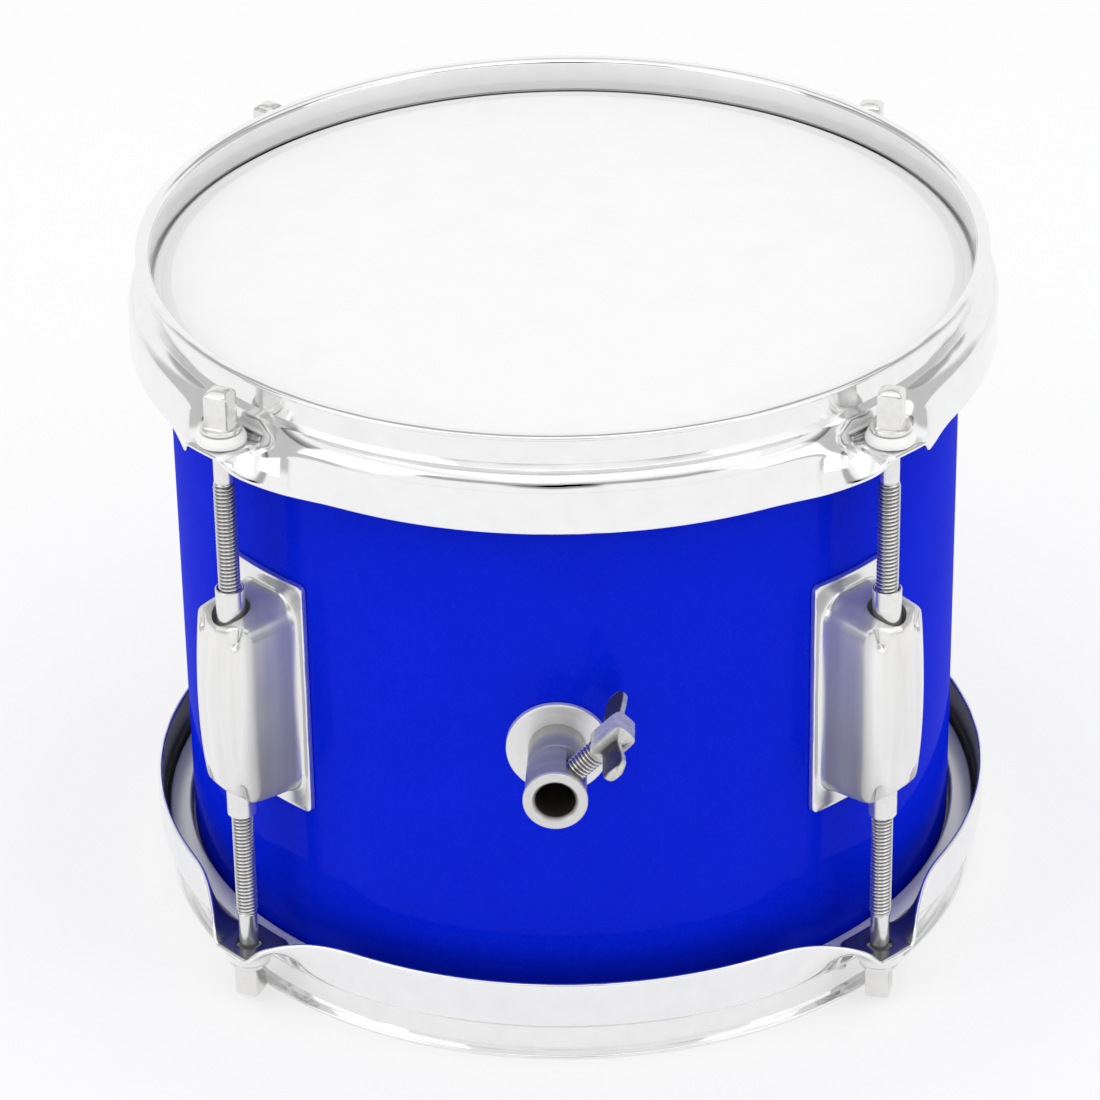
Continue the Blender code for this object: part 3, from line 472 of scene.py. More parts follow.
def brushed_satin():
    """Satin metal, with brushed lines that run round the piece."""
    finish = Finish("brushed_satin", 0.55)
    lines = finish.noise(1.0, 3.0, finish.place("UV", (12.0, 90.0, 1.0)))
    tone = finish.blend(lines, colour(0.72, 0.72, 0.71), colour(0.9, 0.9, 0.89))
    normal = finish.bump(lines, 0.00003, 0.3)
    return finish.set(Base_Color=tone, Roughness=lines * 0.15 + 0.25, Normal=normal)


def sanded_plywood():
    """Thin plies that show at the edges, with long pores along the sheet."""
    finish = Finish("sanded_plywood", 0.0)
    pores = finish.noise(1.0, 4.0, finish.place(scale=(900.0, 900.0, 60.0)))
    figure = finish.noise(1.0, 3.0, finish.place(scale=(70.0, 70.0, 9.0)))
    tone = finish.blend(figure, colour(0.5, 0.33, 0.18), colour(0.68, 0.49, 0.3))
    tone = finish.blend(pores.between(0.55, 0.7) * 0.5, tone, colour(0.3, 0.18, 0.09))
    normal = finish.bump(pores, 0.0001, 0.3)
    return finish.set(Base_Color=tone, Roughness=pores * 0.2 + 0.5, Normal=normal)


def zinc_screw():
    """Dull zinc on small steel parts inside the shell."""
    finish = Finish("zinc_screw", 1.0)
    spangle = finish.noise(900.0, 3.0)
    tone = finish.blend(spangle, colour(0.55, 0.55, 0.56), colour(0.7, 0.7, 0.71))
    normal = finish.bump(spangle, 0.00003, 0.3)
    return finish.set(Base_Color=tone, Roughness=spangle * 0.2 + 0.3, Normal=normal)


CHROME = chrome_plate()
CAST = cast_plate()
TURNED = turned_steel()
THREAD = thread_steel()
HANDLE = cast_handle()
BLUE = blue_covering()
COATED = coated_film()
NYLON = white_nylon()
SATIN = brushed_satin()
PLYWOOD = sanded_plywood()
ZINC = zinc_screw()


def rounded(corners, steps=6):
    """Outline through corners (x, y, radius), each corner with a radius cut by a tangent arc.

    The arc's points are turned evenly from one tangent point to the other about its centre.
    """
    points = []
    count = len(corners)
    for k, (x, y, radius) in enumerate(corners):
        here = np.array([x, y], float)
        if radius <= 0:
            points.append(here[None])
            continue
        before = np.array(corners[k - 1][:2], float) - here
        after = np.array(corners[(k + 1) % count][:2], float) - here
        before /= np.hypot(*before)
        after /= np.hypot(*after)
        half = math.acos(np.clip(before @ after, -1, 1)) / 2
        middle = (before + after) / np.hypot(*(before + after))
        centre = here + middle * radius / math.sin(half)
        first = here + before * radius / math.tan(half) - centre
        last = here + after * radius / math.tan(half) - centre
        turn = math.atan2(first[0] * last[1] - first[1] * last[0], first @ last)
        angles = np.linspace(0, turn, steps)
        arc = np.stack([first[0] * np.cos(angles) - first[1] * np.sin(angles),
                        first[0] * np.sin(angles) + first[1] * np.cos(angles)], -1)
        points.append(centre + arc)
    return np.concatenate(points)


def enclosed(points, faces):
    """Six times the signed volume inside the faces, by fans from each face's first corner."""
    corners = points[faces]
    total = 0.0
    for k in range(1, faces.shape[1] - 1):
        total += np.einsum("ij,ij->i", corners[:, 0], np.cross(corners[:, k], corners[:, k + 1])).sum()
    return total


def surface(name, grid, material, ring=False, matrix=None, sharp=40, bright_share=None):
    """Mesh object of a grid of points whose columns run round and close on themselves.

    Its rows also close when it is a ring; otherwise each end is capped by a fan to the mean
    of its last row. Faces are turned so that the enclosed volume is positive. The bright share,
    one value to each point of the grid, tells the finish how much of its bright tone shows there.
    """
    rows, columns = grid.shape[:2]
    row = np.arange(rows if ring else rows - 1)[:, None]
    col = np.arange(columns)[None]
    after_row = (row + 1) % rows
    after_col = (col + 1) % columns
    quads = np.stack([row * columns + col, row * columns + after_col,
                      after_row * columns + after_col, after_row * columns + col], -1).reshape(-1, 4)
    u = np.stack([col + 0 * row, col + 1 + 0 * row, col + 1 + 0 * row, col + 0 * row], -1) / columns
    v = np.stack([row + 0 * col, row + 0 * col, row + 1 + 0 * col, row + 1 + 0 * col], -1) / rows
    uv = np.stack([u, v], -1).reshape(-1, 2)
    points = grid.reshape(-1, 3)
    fans = np.zeros((0, 3), int)
    if not ring:
        points = np.concatenate([points, grid[[0, -1]].mean(axis=1)])
        low = rows * columns
        last = (rows - 1) * columns
        near = np.stack([after_col[0], col[0], np.full(columns, low)], -1)
        far = np.stack([last + col[0], last + after_col[0], np.full(columns, low + 1)], -1)
        fans = np.concatenate([near, far])
        side = np.stack([col[0] / columns, (col[0] + 1) / columns, (col[0] + 0.5) / columns], -1)
        fan_uv = np.stack([np.concatenate([side, side]),
                           np.repeat([[0.0] * 3, [1.0] * 3], columns, axis=0)], -1)
        uv = np.concatenate([uv, fan_uv.reshape(-1, 2)])
    if matrix is not None:
        turn = np.array(matrix)
        points = points @ turn[:3, :3].T + turn[:3, 3]
    points = points + (0, AXIS_Y, 0)
    volume = enclosed(points, quads) + (enclosed(points, fans) if len(fans) else 0)
    if volume < 0:
        quads = quads[:, ::-1]
        fans = fans[:, ::-1]
        uv[:len(quads) * 4] = uv[:len(quads) * 4].reshape(-1, 4, 2)[:, ::-1].reshape(-1, 2)
    mesh = bpy.data.meshes.new(name)
    mesh.from_pydata(points.tolist(), [], quads.tolist() + fans.tolist())
    mesh.uv_layers.new(name="around").data.foreach_set("uv", uv.astype(np.float32).ravel())
    mesh.materials.append(material)
    bright_share = np.ones((rows, columns)) if bright_share is None else bright_share
    values = np.concatenate([bright_share.ravel(), bright_share[[0, -1]].mean(axis=1)])[:len(points)]
    mesh.attributes.new("bright_share", "FLOAT", "POINT").data.foreach_set("value", values.astype(np.float32))
    piece = bpy.data.objects.new(name, mesh)
    bpy.context.scene.collection.objects.link(piece)
    smooth(piece, sharp)
    return piece


def smooth(piece, sharp):
    """Shade smooth, apart from edges that turn by more than sharp degrees."""
    piece.data.shade_smooth()
    piece.data.set_sharp_from_angle(angle=math.radians(sharp))


def ramp(values, start, run):
    """Share of the way through a run that begins at start, from 0 to 1."""
    return np.clip((values - start) / run, 0, 1)


def full_turn(sides):
    """Angles spread evenly over a whole turn."""
    return np.linspace(0, math.tau, sides, endpoint=False)


def round_grid(radius, height, angles):
    """Points about local Z: radius times the cosine and sine of each angle, at these heights."""
    return np.stack([radius * np.cos(angles), radius * np.sin(angles), height + 0 * angles], -1)


def turned(name, outline, material, sides, ring=True, matrix=None, row_bright_share=None):
    """Turn an outline of (radius, height) points about local Z; row_bright_share gives each point's bright
    share.
    """
    grid = round_grid(outline[:, :1], outline[:, 1:], full_turn(sides))
    bright_share = None if row_bright_share is None else np.repeat(row_bright_share[:, None], sides, axis=1)
    return surface(name, grid, material, ring, matrix, bright_share=bright_share)


def post(radius, low, high, matrix, sides=64):
    """Plain closed cylinder along local Z, used only to cut with."""
    outline = np.array([[radius, low], [radius, high]])
    return turned("cutter", outline, ZINC, sides, ring=False, matrix=matrix)


def cut(piece, *cutters):
    """Take the cutters out of the piece for good, and remove them.

    Edges shorter than a sliver are closed up and faces of many corners split into triangles,
    so that the mesh stays closed when it is exported.
    """
    material = piece.data.materials[0]
    for cutter in cutters:
        modifier = piece.modifiers.new("cut", "BOOLEAN")
        modifier.operation = "DIFFERENCE"
        modifier.solver = "EXACT"
        modifier.object = cutter
    bpy.context.view_layer.update()
    depsgraph = bpy.context.evaluated_depsgraph_get()
    mesh = bpy.data.meshes.new_from_object(piece.evaluated_get(depsgraph))
    body = bmesh.new()
    body.from_mesh(mesh)
    bmesh.ops.dissolve_degenerate(body, edges=body.edges, dist=SLIVER)
    bmesh.ops.triangulate(body, faces=[face for face in body.faces if len(face.verts) > 4])
    body.to_mesh(mesh)
    body.free()
    piece.modifiers.clear()
    piece.data = mesh
    mesh.materials.clear()
    mesh.materials.append(material)
    mesh.polygons.foreach_set("material_index", np.zeros(len(mesh.polygons), np.int32))
    for cutter in cutters:
        bpy.data.objects.remove(cutter, do_unlink=True)
    smooth(piece, 40)


def dress(piece, body, slot, *nodes):
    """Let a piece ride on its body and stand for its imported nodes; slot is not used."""
    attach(piece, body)
    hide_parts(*nodes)


def end_matrix(end, turn=0.0):
    """Frame whose Z is the depth below the lip at either end, turned about the drum's axis."""
    spin = Matrix.Rotation(turn, 4, "Z")
    if end == "bottom":
        return spin
    return Matrix.Translation((0, 0, HEIGHT)) @ spin @ Matrix.Rotation(math.pi, 4, "X")


def out_matrix(degrees, height):
    """Frame whose Z points out of the drum at this compass angle, with Y up."""
    turn = Matrix.Rotation(math.radians(degrees) + math.pi / 2, 4, "Z")
    return Matrix.Translation((0, 0, height)) @ turn @ Matrix.Rotation(math.pi / 2, 4, "X")


def hoop_stations():
    """Compass angles of the hoop's sections with their angles off the nearest ear, close at ears."""
    near = np.arange(-FINE_SPAN, FINE_SPAN, FINE_STEP)
    away = np.arange(FINE_SPAN, 45, COARSE_STEP)
    offsets = np.concatenate([-away[::-1] - COARSE_STEP, near, away])
    angles = np.concatenate([45 + 90 * k + offsets for k in range(4)])
    return np.radians(angles), np.tile(np.abs(offsets), 4)


def hoop_middle(off):
    """Middle line of the sheet at each angle off an ear, as (stations, points, 2).

    The lip, wall and step are the same all round. Past the step the line is the running sum
    of short lengths along a heading. Headings go from the ear's to the skirt's by the cube of
    the share of the twist that is left, and lengths by its sixth power; the skirt's straight
    end is shorter beside an ear by a bell curve of the angle.
    """
    start = rounded([(LIP_RADIUS, SHEET / 2, 0), (WALL_RADIUS, SHEET / 2, 0.0009),
                     (WALL_RADIUS, WALL_DEPTH, 0.0007), (STEP_RADIUS, STEP_DEPTH, 0)], 7)
    left = 1 - ramp(off, EAR_FLAT_ANGLE, EAR_BLEND_ANGLE)
    turn_weight = left[:, None] ** 3
    weight = left[:, None] ** 6
    trim = EAR_TRIM * np.exp(-(np.clip(off - EAR_FLAT_ANGLE, 0, None) / EAR_TRIM_ANGLE) ** 2)
    knots = np.linspace(0, 1, 5)
    bend_end = EAR_DROP + EAR_BEND * math.pi / 2
    ear_end = bend_end + EAR_EDGE - STEP_RADIUS - STEP_GAIN - EAR_BEND
    share = np.linspace(0, 1, 53)
    skirt_knots = (0, SKIRT_QUARTER, 2 * SKIRT_QUARTER, 3 * SKIRT_QUARTER, SKIRT_LENGTH)
    skirt = np.interp(share, knots, skirt_knots)
    ear = np.interp(share, knots, (0, EAR_DROP, (EAR_DROP + bend_end) / 2, bend_end, ear_end))
    skirt_heading = np.interp((skirt[1:] + skirt[:-1]) / 2, (0, STEP_TURN, SKIRT_FOLD),
                              (STEP_HEADING, SKIRT_HEADING, 90))
    ear_heading = np.interp((ear[1:] + ear[:-1]) / 2, (0, STEP_TURN, EAR_DROP, bend_end),
                            (STEP_HEADING, 90, 90, 0))
    skirt_length = np.diff(skirt) * (1 - trim[:, None] * (share[1:] > knots[3]))
    length = skirt_length * (1 - weight) + np.diff(ear) * weight
    heading = np.radians(skirt_heading * (1 - turn_weight) + ear_heading * turn_weight)
    radius = STEP_RADIUS + np.cumsum(length * np.cos(heading), axis=1)
    depth = STEP_DEPTH + np.cumsum(length * np.sin(heading), axis=1)
    tail = np.stack([radius, depth], -1)
    head = np.broadcast_to(start, (len(off), *start.shape))
    return np.concatenate([head, tail], axis=1)


def hoop_grid():
    """Closed section round the drum: both faces of the sheet and its two rounded edges.

    Each face lies half the sheet's thickness from the middle surface, along the surface's own
    normal; each edge is a half circle from one face to the other. On the face that looks
    inwards the bright share is lower down the wall, and falls to its least past the step: painted shade.
    """
    angles, off = hoop_stations()
    middle = hoop_middle(off)
    radius = middle[..., 0]
    points = round_grid(radius, middle[..., 1], angles[:, None])
    along = np.gradient(points, axis=1)
    wrapped = np.concatenate([points[-1:], points, points[:1]])
    around = wrapped[2:] - wrapped[:-2]
    normal = np.cross(along, around)
    normal /= np.linalg.norm(normal, axis=-1, keepdims=True)
    along /= np.linalg.norm(along, axis=-1, keepdims=True)
    half = SHEET / 2
    bend = np.linspace(0, math.pi, 7)[1:-1][None, :, None]

    def edge(at, way, first):
        """Half circle round one edge of the sheet, past it along the section."""
        return points[:, at, None] + half * (way * along[:, at, None] * np.sin(bend)
                                             + first * normal[:, at, None] * np.cos(bend))

    loop = np.concatenate([points + half * normal, edge(-1, 1, 1), (points - half * normal)[:, ::-1],
                           edge(0, -1, -1)], axis=1)
    depth = middle[..., 1]
    # Painted shade on the inner face: darker down the wall, near black past the step.
    inside = np.clip((STEP_DEPTH + FOLD_SHADE_RUN - depth) / FOLD_SHADE_RUN, FOLD_SHADED_SHARE, 1)
    inside *= 1 - WALL_SHADE * ramp(depth, WALL_SHADE_START, WALL_SHADE_RUN)
    bright_share = np.ones(loop.shape[:2])
    bright_share[:, :inside.shape[1]] = inside
    return loop.transpose(1, 0, 2), bright_share.T


def make_hoops():
    """Both hoops, with a hole drilled through each ear."""
    grid, bright_share = hoop_grid()
    for end in ENDS:
        name = end + "_hoop_pressing"
        hoop = surface(name, grid, CHROME, ring=True, matrix=end_matrix(end), sharp=50, bright_share=bright_share)
        drills = []
        for degrees in CORNERS.values():
            turn = Matrix.Rotation(math.radians(degrees), 4, "Z")
            spot = end_matrix(end) @ turn @ Matrix.Translation((ROD_CIRCLE, 0, 0))
            drills.append(post(EAR_HOLE, EAR_DEPTH - SHEET, EAR_DEPTH + 3 * SHEET, spot, 40))
        cut(hoop, *drills)
        dress(hoop, "drum", "chrome", end + "_hoop")


def make_covering():
    """Sheet round the shell with its raised lap at the back and a round hole for the vent."""
    even = np.arange(0, 360, 0.75)
    lap = [LAP_ANGLES[0] - LAP_RAMP, *LAP_ANGLES, LAP_ANGLES[1] + LAP_RAMP]
    degrees = np.unique(np.concatenate([even, lap]))
    rise = LAP_RISE * np.interp(degrees, lap, (0, 1, 1, 0))
    outline = rounded([(WRAP_INNER, WRAP_EDGE, 0), (WRAP_OUTER, WRAP_EDGE, 0.0002),
                       (WRAP_OUTER, HEIGHT - WRAP_EDGE, 0.0002), (WRAP_INNER, HEIGHT - WRAP_EDGE, 0)], 4)
    radius = outline[:, :1] + rise * (outline[:, :1] > WRAP_INNER)
    grid = round_grid(radius, outline[:, 1:], np.radians(degrees))
    sheet = surface("blue_covering_sheet", grid, BLUE, ring=True)
    cut(sheet, post(VENT_HOLE, *VENT_HOLE_ENDS, out_matrix(VENT_ANGLE, MID)))
    dress(sheet, "drum", "blue_wrap", "shell_wrap")


def make_heads():
    """Films with their collar over the bearing edge, and the rings that they are held in."""
    rim = FLESH_TOP - COLLAR_GAP
    under = HEAD_DEPTH + FILM
    outline = rounded([(FILM_FAN, under, 0), (CROWN_RADIUS + 0.0002, under, 0.0012),
                       (FLESH_INNER, rim, 0.0006), (FILM_RIM, rim, 0.00015),
                       (FILM_RIM, rim - FILM, 0.00015), (FLESH_INNER + 0.0002, rim - FILM, 0.0008),
                       (CROWN_RADIUS + 0.0004, HEAD_DEPTH, 0.0014), (FILM_FAN, HEAD_DEPTH, 0)], 6)
    ring = rounded([(FLESH_INNER, FLESH_TOP, 0.0004), (FLESH_OUTER, FLESH_TOP, 0.0004),
                    (FLESH_OUTER, SHOULDER_DEPTH, 0.0005), (SHOULDER_RADIUS, SHOULDER_DEPTH, 0.0004),
                    (SHOULDER_RADIUS, FLESH_TOP + FLESH_HEIGHT, 0.0007),
                    (FLESH_INNER + 0.0003, FLESH_TOP + FLESH_HEIGHT + 0.0008, 0.0007)], 5)
    for end, head in zip(ENDS, ("resonant", "batter")):
        film = turned(head + "_head_film", outline, COATED, 240, ring=False, matrix=end_matrix(end))
        dress(film, "drum", "white_film", head + "_head")
        hoop = turned(head + "_flesh_ring", ring, SATIN, 240, matrix=end_matrix(end))
        dress(hoop, "drum", "bright_steel", head + "_flesh_hoop")


def soft_least(values, softness):
    """Smooth minimum of arrays: minus the scaled log of the sum of their falling exponentials."""
    values = np.stack(values)
    least = values.min(axis=0)
    return least - softness * np.log(np.exp(-(values - least) / softness).sum(axis=0))


def straight_face(face, across, up):
    """Reach of a straight face: its level, less its steepness times the way past its place."""
    level, steepness, place, way = face
    return level - steepness * (way[0] * across + way[1] * up - place)


def casing_reach(across, up):
    """How far out the casing's skin lies at a place across and up, all in millimetres.

    Softened least of four parts. The front is the least of a low ridge and two slanted facets,
    less a share of the height squared. The flank is the very soft least of steep side walls,
    two clipped corners and the end faces. The others are a chamfer and the roll at the ends.
    A bell-shaped dimple is pressed in where the facets meet the ends.
    """
    across = np.abs(across)
    up = np.abs(up)
    front = soft_least([straight_face(face, across, up) for face in (RIDGE, FACET)], RIDGE_SOFTNESS)
    steep = [straight_face(face, across, up) for face in (WALL, CORNER, LOW_CORNER, END_FACE)]
    flank = soft_least(steep, FLANK_SOFTNESS)
    chamfer = straight_face(CHAMFER, across, up)
    end_roll = straight_face(END_ROLL, across, up)
    aside = (across - DIMPLE_PLACE[0]) / DIMPLE_SIZE[0]
    above = (up - DIMPLE_PLACE[1]) / DIMPLE_SIZE[1]
    dimple = DIMPLE_DEPTH * np.exp(-aside ** 2 - above ** 2)
    return soft_least([front - BARREL * up ** 2, flank, chamfer, end_roll], CASING_SOFTNESS) - dimple


def plate_reach(across, up):
    """The same for the base plate: steep edges round a rectangle with small clipped corners."""
    across = np.abs(across)
    up = np.abs(up)
    side = LUG_PLATE_HALF_WIDTH - across
    top = LUG_PLATE_HALF_HEIGHT - up
    corner = (side + top - LUG_PLATE_CORNER) / math.sqrt(2)
    return soft_least([LUG_PLATE_STEEPNESS * face for face in (side, top, corner)], PLATE_SOFTNESS)


def level_loop(reach, level, angles):
    """Distance from the middle, along each angle, at which the reach falls to the level.

    It is found by halving the stretch that it lies in, again and again.
    """
    low = np.zeros_like(angles)
    high = np.full_like(angles, 45.0)
    for _ in range(44):
        middle = (low + high) / 2
        inside = reach(middle * np.cos(angles), middle * np.sin(angles)) > level
        low = np.where(inside, middle, low)
        high = np.where(inside, high, middle)
    return low


def casing_grid():
    """Level loops from the plate's back edge over its face and up the casing to its peak.

    Each loop's points lie where rays from the middle meet the level; rays are spread evenly
    along a rectangle of the casing's size. The plate's loops are bent round the drum. The bright
    share is full on the front and the plate; painted shade darkens the sides, less towards the top.
    """
    outline = rounded([(11, 0, 0), (11, 30, 3), (-11, 30, 3), (-11, -30, 3), (11, -30, 3)], 12)
    closed = np.concatenate([outline, outline[:1]])
    run = np.concatenate([[0], np.cumsum(np.hypot(*np.diff(closed, axis=0).T))])
    even = np.linspace(0, run[-1], LUG_RAYS, endpoint=False)
    across = np.interp(even, run, closed[:, 0])
    up = np.interp(even, run, closed[:, 1])
    angles = np.arctan2(up, across)
    back = SEAT_RADIUS / MILLIMETRE
    rows = []

    def bent(loop, out):
        """A loop on a round face at this distance from the drum's axis."""
        side = loop * np.cos(angles)
        rows.append(np.stack([np.sqrt(out ** 2 - side ** 2), side, loop * np.sin(angles)], -1))

    edge = level_loop(plate_reach, 0, angles)
    bent(edge, back)
    bent(edge, LUG_PLATE_OUT - LUG_PLATE_ROUND)
    bent(edge - 0.1, LUG_PLATE_OUT - 0.1)
    bent(edge - LUG_PLATE_ROUND, LUG_PLATE_OUT)
    foot = level_loop(casing_reach, LUG_FOOT_OUT, angles)
    apron = foot + LUG_FILLET + 0.1
    for share in (0.3, 0.6):
        bent(edge * (1 - share) + apron * share, LUG_PLATE_OUT)
    for turn in np.radians((0, 22, 45, 68)):
        bent(apron - LUG_FILLET * math.sin(turn), LUG_PLATE_OUT + LUG_FILLET * (1 - math.cos(turn)))
    levels = np.concatenate([np.linspace(106, 114, 6), np.linspace(115, 119.5, 14),
                             LUG_PEAK - 0.02 - 3.4 * np.linspace(1, 0.02, 30) ** 1.6])
    for level in levels:
        loop = level_loop(casing_reach, level, angles)
        rows.append(np.stack([np.full_like(loop, level), loop * np.cos(angles), loop * np.sin(angles)], -1))
    grid = np.array(rows)
    # Painted shade: darker down the side walls, lighter towards the top.
    side = ramp(grid[..., 0], 117.0, 4.0)
    plate = ramp(LUG_FOOT_OUT - grid[..., 0], 0, 0.6)
    high = ramp(grid[..., 2], -12.0, 40.0)
    return grid * MILLIMETRE, np.clip(side + plate + 0.45 * high, 0, 1)


def make_lugs():
    """The four casings, each bored from end to end for its swivel nuts."""
    grid, bright_share = casing_grid()
    for corner, degrees in CORNERS.items():
        matrix = Matrix.Translation((0, 0, MID)) @ Matrix.Rotation(math.radians(degrees), 4, "Z")
        lug = surface("lug_casting_" + corner, grid, CAST, matrix=matrix, sharp=60, bright_share=bright_share)
        axis = matrix @ Matrix.Translation((ROD_CIRCLE, 0, 0))
        cut(lug, post(LUG_HOLE, -LUG_HOLE_HALF, LUG_HOLE_HALF, axis))
        dress(lug, "drum", "die_cast", "lug_casing_" + corner)


def thread_ridge(along, pitch, angles):
    """Share of the thread's depth that stands: a trapezoid wave of height over pitch less the turn."""
    wave = np.abs(2 * ((along[:, None] / pitch - angles / math.tau) % 1) - 1)
    return np.clip(1.5 * wave - 0.25, 0, 1)


def rod_grid():
    """Rod from the rounded key head to the thread's end, along its depth, and its bright share, low in the
    thread's roots.

    Each row is a superellipse: its exponent is high on the square head and 2 where round.
    In the thread the radius is the root's and the standing share of the thread's depth.
    """
    angles = full_turn(ROD_SIDES)
    head_base = FLANGE_SEAT - FLANGE_THICKNESS
    head_top = head_base - KEY_HEIGHT
    dome = np.radians(np.linspace(6, 90, 8))
    rows = [(head_top + KEY_DOME * (1 - math.cos(a)), KEY_HALF * math.sin(a) ** 0.6, 3 + 9 * math.sin(a))
            for a in dome]
    rows += [(head_base - 0.0004, KEY_HALF, 12), (head_base, KEY_HALF + 0.0003, 8)]
    rows += [(head_base, FLANGE_RADIUS - 0.0003, 2), (head_base + 0.0001, FLANGE_RADIUS - 0.0001, 2),
             (head_base + 0.0003, FLANGE_RADIUS, 2), (FLANGE_SEAT - 0.0002, FLANGE_RADIUS, 2),
             (FLANGE_SEAT, FLANGE_RADIUS - 0.0002, 2), (FLANGE_SEAT, STEM_RADIUS + 0.0003, 2),
             (FLANGE_SEAT + 0.0003, STEM_RADIUS, 2), (THREAD_START - 0.0002, STEM_RADIUS, 2)]
    depth, size, power = np.array(rows).T[:, :, None]
    spread = (np.abs(np.cos(angles)) ** power + np.abs(np.sin(angles)) ** power) ** (-1 / power)
    plain = size * spread
    tip = MID - ROD_TIP
    along = np.arange(THREAD_START, tip, ROD_PITCH / 10)
    ridge = thread_ridge(along, ROD_PITCH, angles)
    fade = ramp(np.minimum(along - THREAD_START, tip - along), 0, THREAD_RUN_OUT)[:, None]
    root = THREAD_RADIUS - THREAD_DEPTH
    thread = root + THREAD_DEPTH * ridge * fade
    radius = np.concatenate([plain, thread, np.full((1, ROD_SIDES), root - 0.0004)])
    height = np.concatenate([depth, along[:, None], [[tip]]])
    bright_share = np.ones_like(radius)
    # Dark oil and painted shade in the thread's roots.
    bright_share[len(plain):-1] = np.maximum(ridge, 1 - fade)
    return round_grid(radius, height, angles), bright_share


def make_rods():
    """Rods, washers and swivel nuts at all eight places."""
    grid, bright_share = rod_grid()
    crown = WASHER_SEAT - WASHER_THICKNESS
    washer = rounded([(BORE_RADIUS, WASHER_SEAT, 0.0002), (WASHER_RADIUS, WASHER_SEAT, 0.0005),
                      (WASHER_RADIUS, WASHER_SEAT - WASHER_RIM, 0.0006),
                      (FLANGE_RADIUS + 0.0004, crown, 0.0006), (BORE_RADIUS, crown, 0.0002)], 6)
    nut = rounded([(BORE_RADIUS, NUT_FLANGE_LOW, 0), (NUT_FLANGE_RADIUS, NUT_FLANGE_LOW, 0.0003),
                   (NUT_FLANGE_RADIUS, NUT_FLANGE_TOP, 0.0003), (NUT_RADIUS, NUT_FLANGE_TOP, 0.0002),
                   (NUT_RADIUS, NUT_END, 0.0003), (BORE_RADIUS, NUT_END, 0.0002)], 5)
    for corner, degrees in CORNERS.items():
        compass = math.radians(degrees)
        spot = Vector((math.cos(compass), math.sin(compass), 0)) * ROD_CIRCLE
        move = Matrix.Translation(spot)
        turn = math.radians(degrees + KEY_TURNS[corner])
        for end in ENDS:
            key = f"{end}_{corner}"
            rod = surface("rod_" + key, grid, THREAD, matrix=move @ end_matrix(end, turn), bright_share=bright_share)
            dress(rod, "tension_rod_" + key, "chrome", "tension_rod_" + key)
            pad = turned("washer_" + key, washer, NYLON, 64, matrix=move @ end_matrix(end))
            dress(pad, "rod_washer_" + key, "white_nylon", "rod_washer_" + key)
            flip = Matrix.Rotation(math.pi if end == "bottom" else 0, 4, "X")
            middle = Matrix.Translation((spot.x, spot.y, MID)) @ flip
            insert = turned("nut_" + key, nut, THREAD, 48, matrix=middle)
            dress(insert, "drum", "bright_steel", "swivel_nut_" + key)


def make_socket():
    """Round plate bent to the drum, and the turned tube socket that stands on it."""
    matrix = out_matrix(BRACKET_ANGLE, MID)
    angles = full_turn(PLATE_SIDES)
    front = rounded([(PLATE_RADIUS, PLATE_FRONT - PLATE_RIM, 0), (PLATE_RADIUS, PLATE_FRONT, 0.0005),
                     (BOLT_HOLE, PLATE_FRONT, 0)], 6)
    back_radius = np.linspace(BOLT_HOLE, PLATE_RADIUS, 8)
    back = np.sqrt(SEAT_RADIUS ** 2 - (back_radius[:, None] * np.cos(angles)) ** 2)
    face = np.repeat(front[:, 1:], PLATE_SIDES, axis=1)
    face[0] = np.maximum(back[-1] + 0.0003, PLATE_FRONT - 0.0012)
    radius = np.concatenate([back_radius, front[:, 0]])[:, None]
    grid = round_grid(radius, np.concatenate([back, face]), angles)
    plate = surface("bracket_disc", grid, SATIN, ring=True, matrix=matrix)
    dress(plate, "drum", "bright_steel", "bracket_plate")

    groove = SOCKET_BASE + GROOVE_HEIGHT
    ring = MOUTH - RING_HEIGHT
    outline = rounded([(BOLT_HOLE, BOLT_HOLE_END, 0), (BOLT_HOLE, SOCKET_BASE, 0),
                       (SOCKET_FOOT, SOCKET_BASE, 0.0002), (SOCKET_FOOT + 0.00005, groove - 0.0004, 0),
                       (SOCKET_FOOT - 0.00015, groove - 0.0001, 0),
                       (SOCKET_FOOT + 0.00015, groove + 0.0002, 0), (SOCKET_NECK, ring - 0.0004, 0),
                       (SOCKET_NECK - 0.0001, ring, 0), (SOCKET_RING, ring + 0.0002, 0.0002),
                       (SOCKET_RING, MOUTH, 0.0006), (MOUTH_RIM, MOUTH, 0.0002),
                       (SOCKET_BORE, MOUTH - MOUTH_CHAMFER, 0.0002), (SOCKET_BORE, SOCKET_FLOOR, 0)], 6)
    # Painted shade in the bore; half the bright tone below the ring.
    outside = outline[:, 0] > SOCKET_BORE + 0.0001
    row_bright_share = np.where(outline[:, 1] > ring + 0.0002, 1.0, 0.5) * outside
    socket = turned("tube_socket", outline, TURNED, 128, ring=False, matrix=matrix, row_bright_share=row_bright_share)
    cut(socket, post(STUD_RADIUS + 0.0002, *STUD_HOLE, stud_matrix(), 48))
    dress(socket, "drum", "bright_steel", "bracket_socket")


def stud_matrix():
    """Frame of the clamp, whose Z runs out of the socket's side along the stud."""
    centre = Matrix.Translation((0, -STUD_DISTANCE, MID))
    return centre @ Matrix.Rotation(math.pi / 2 - STUD_ANGLE, 4, "Y")


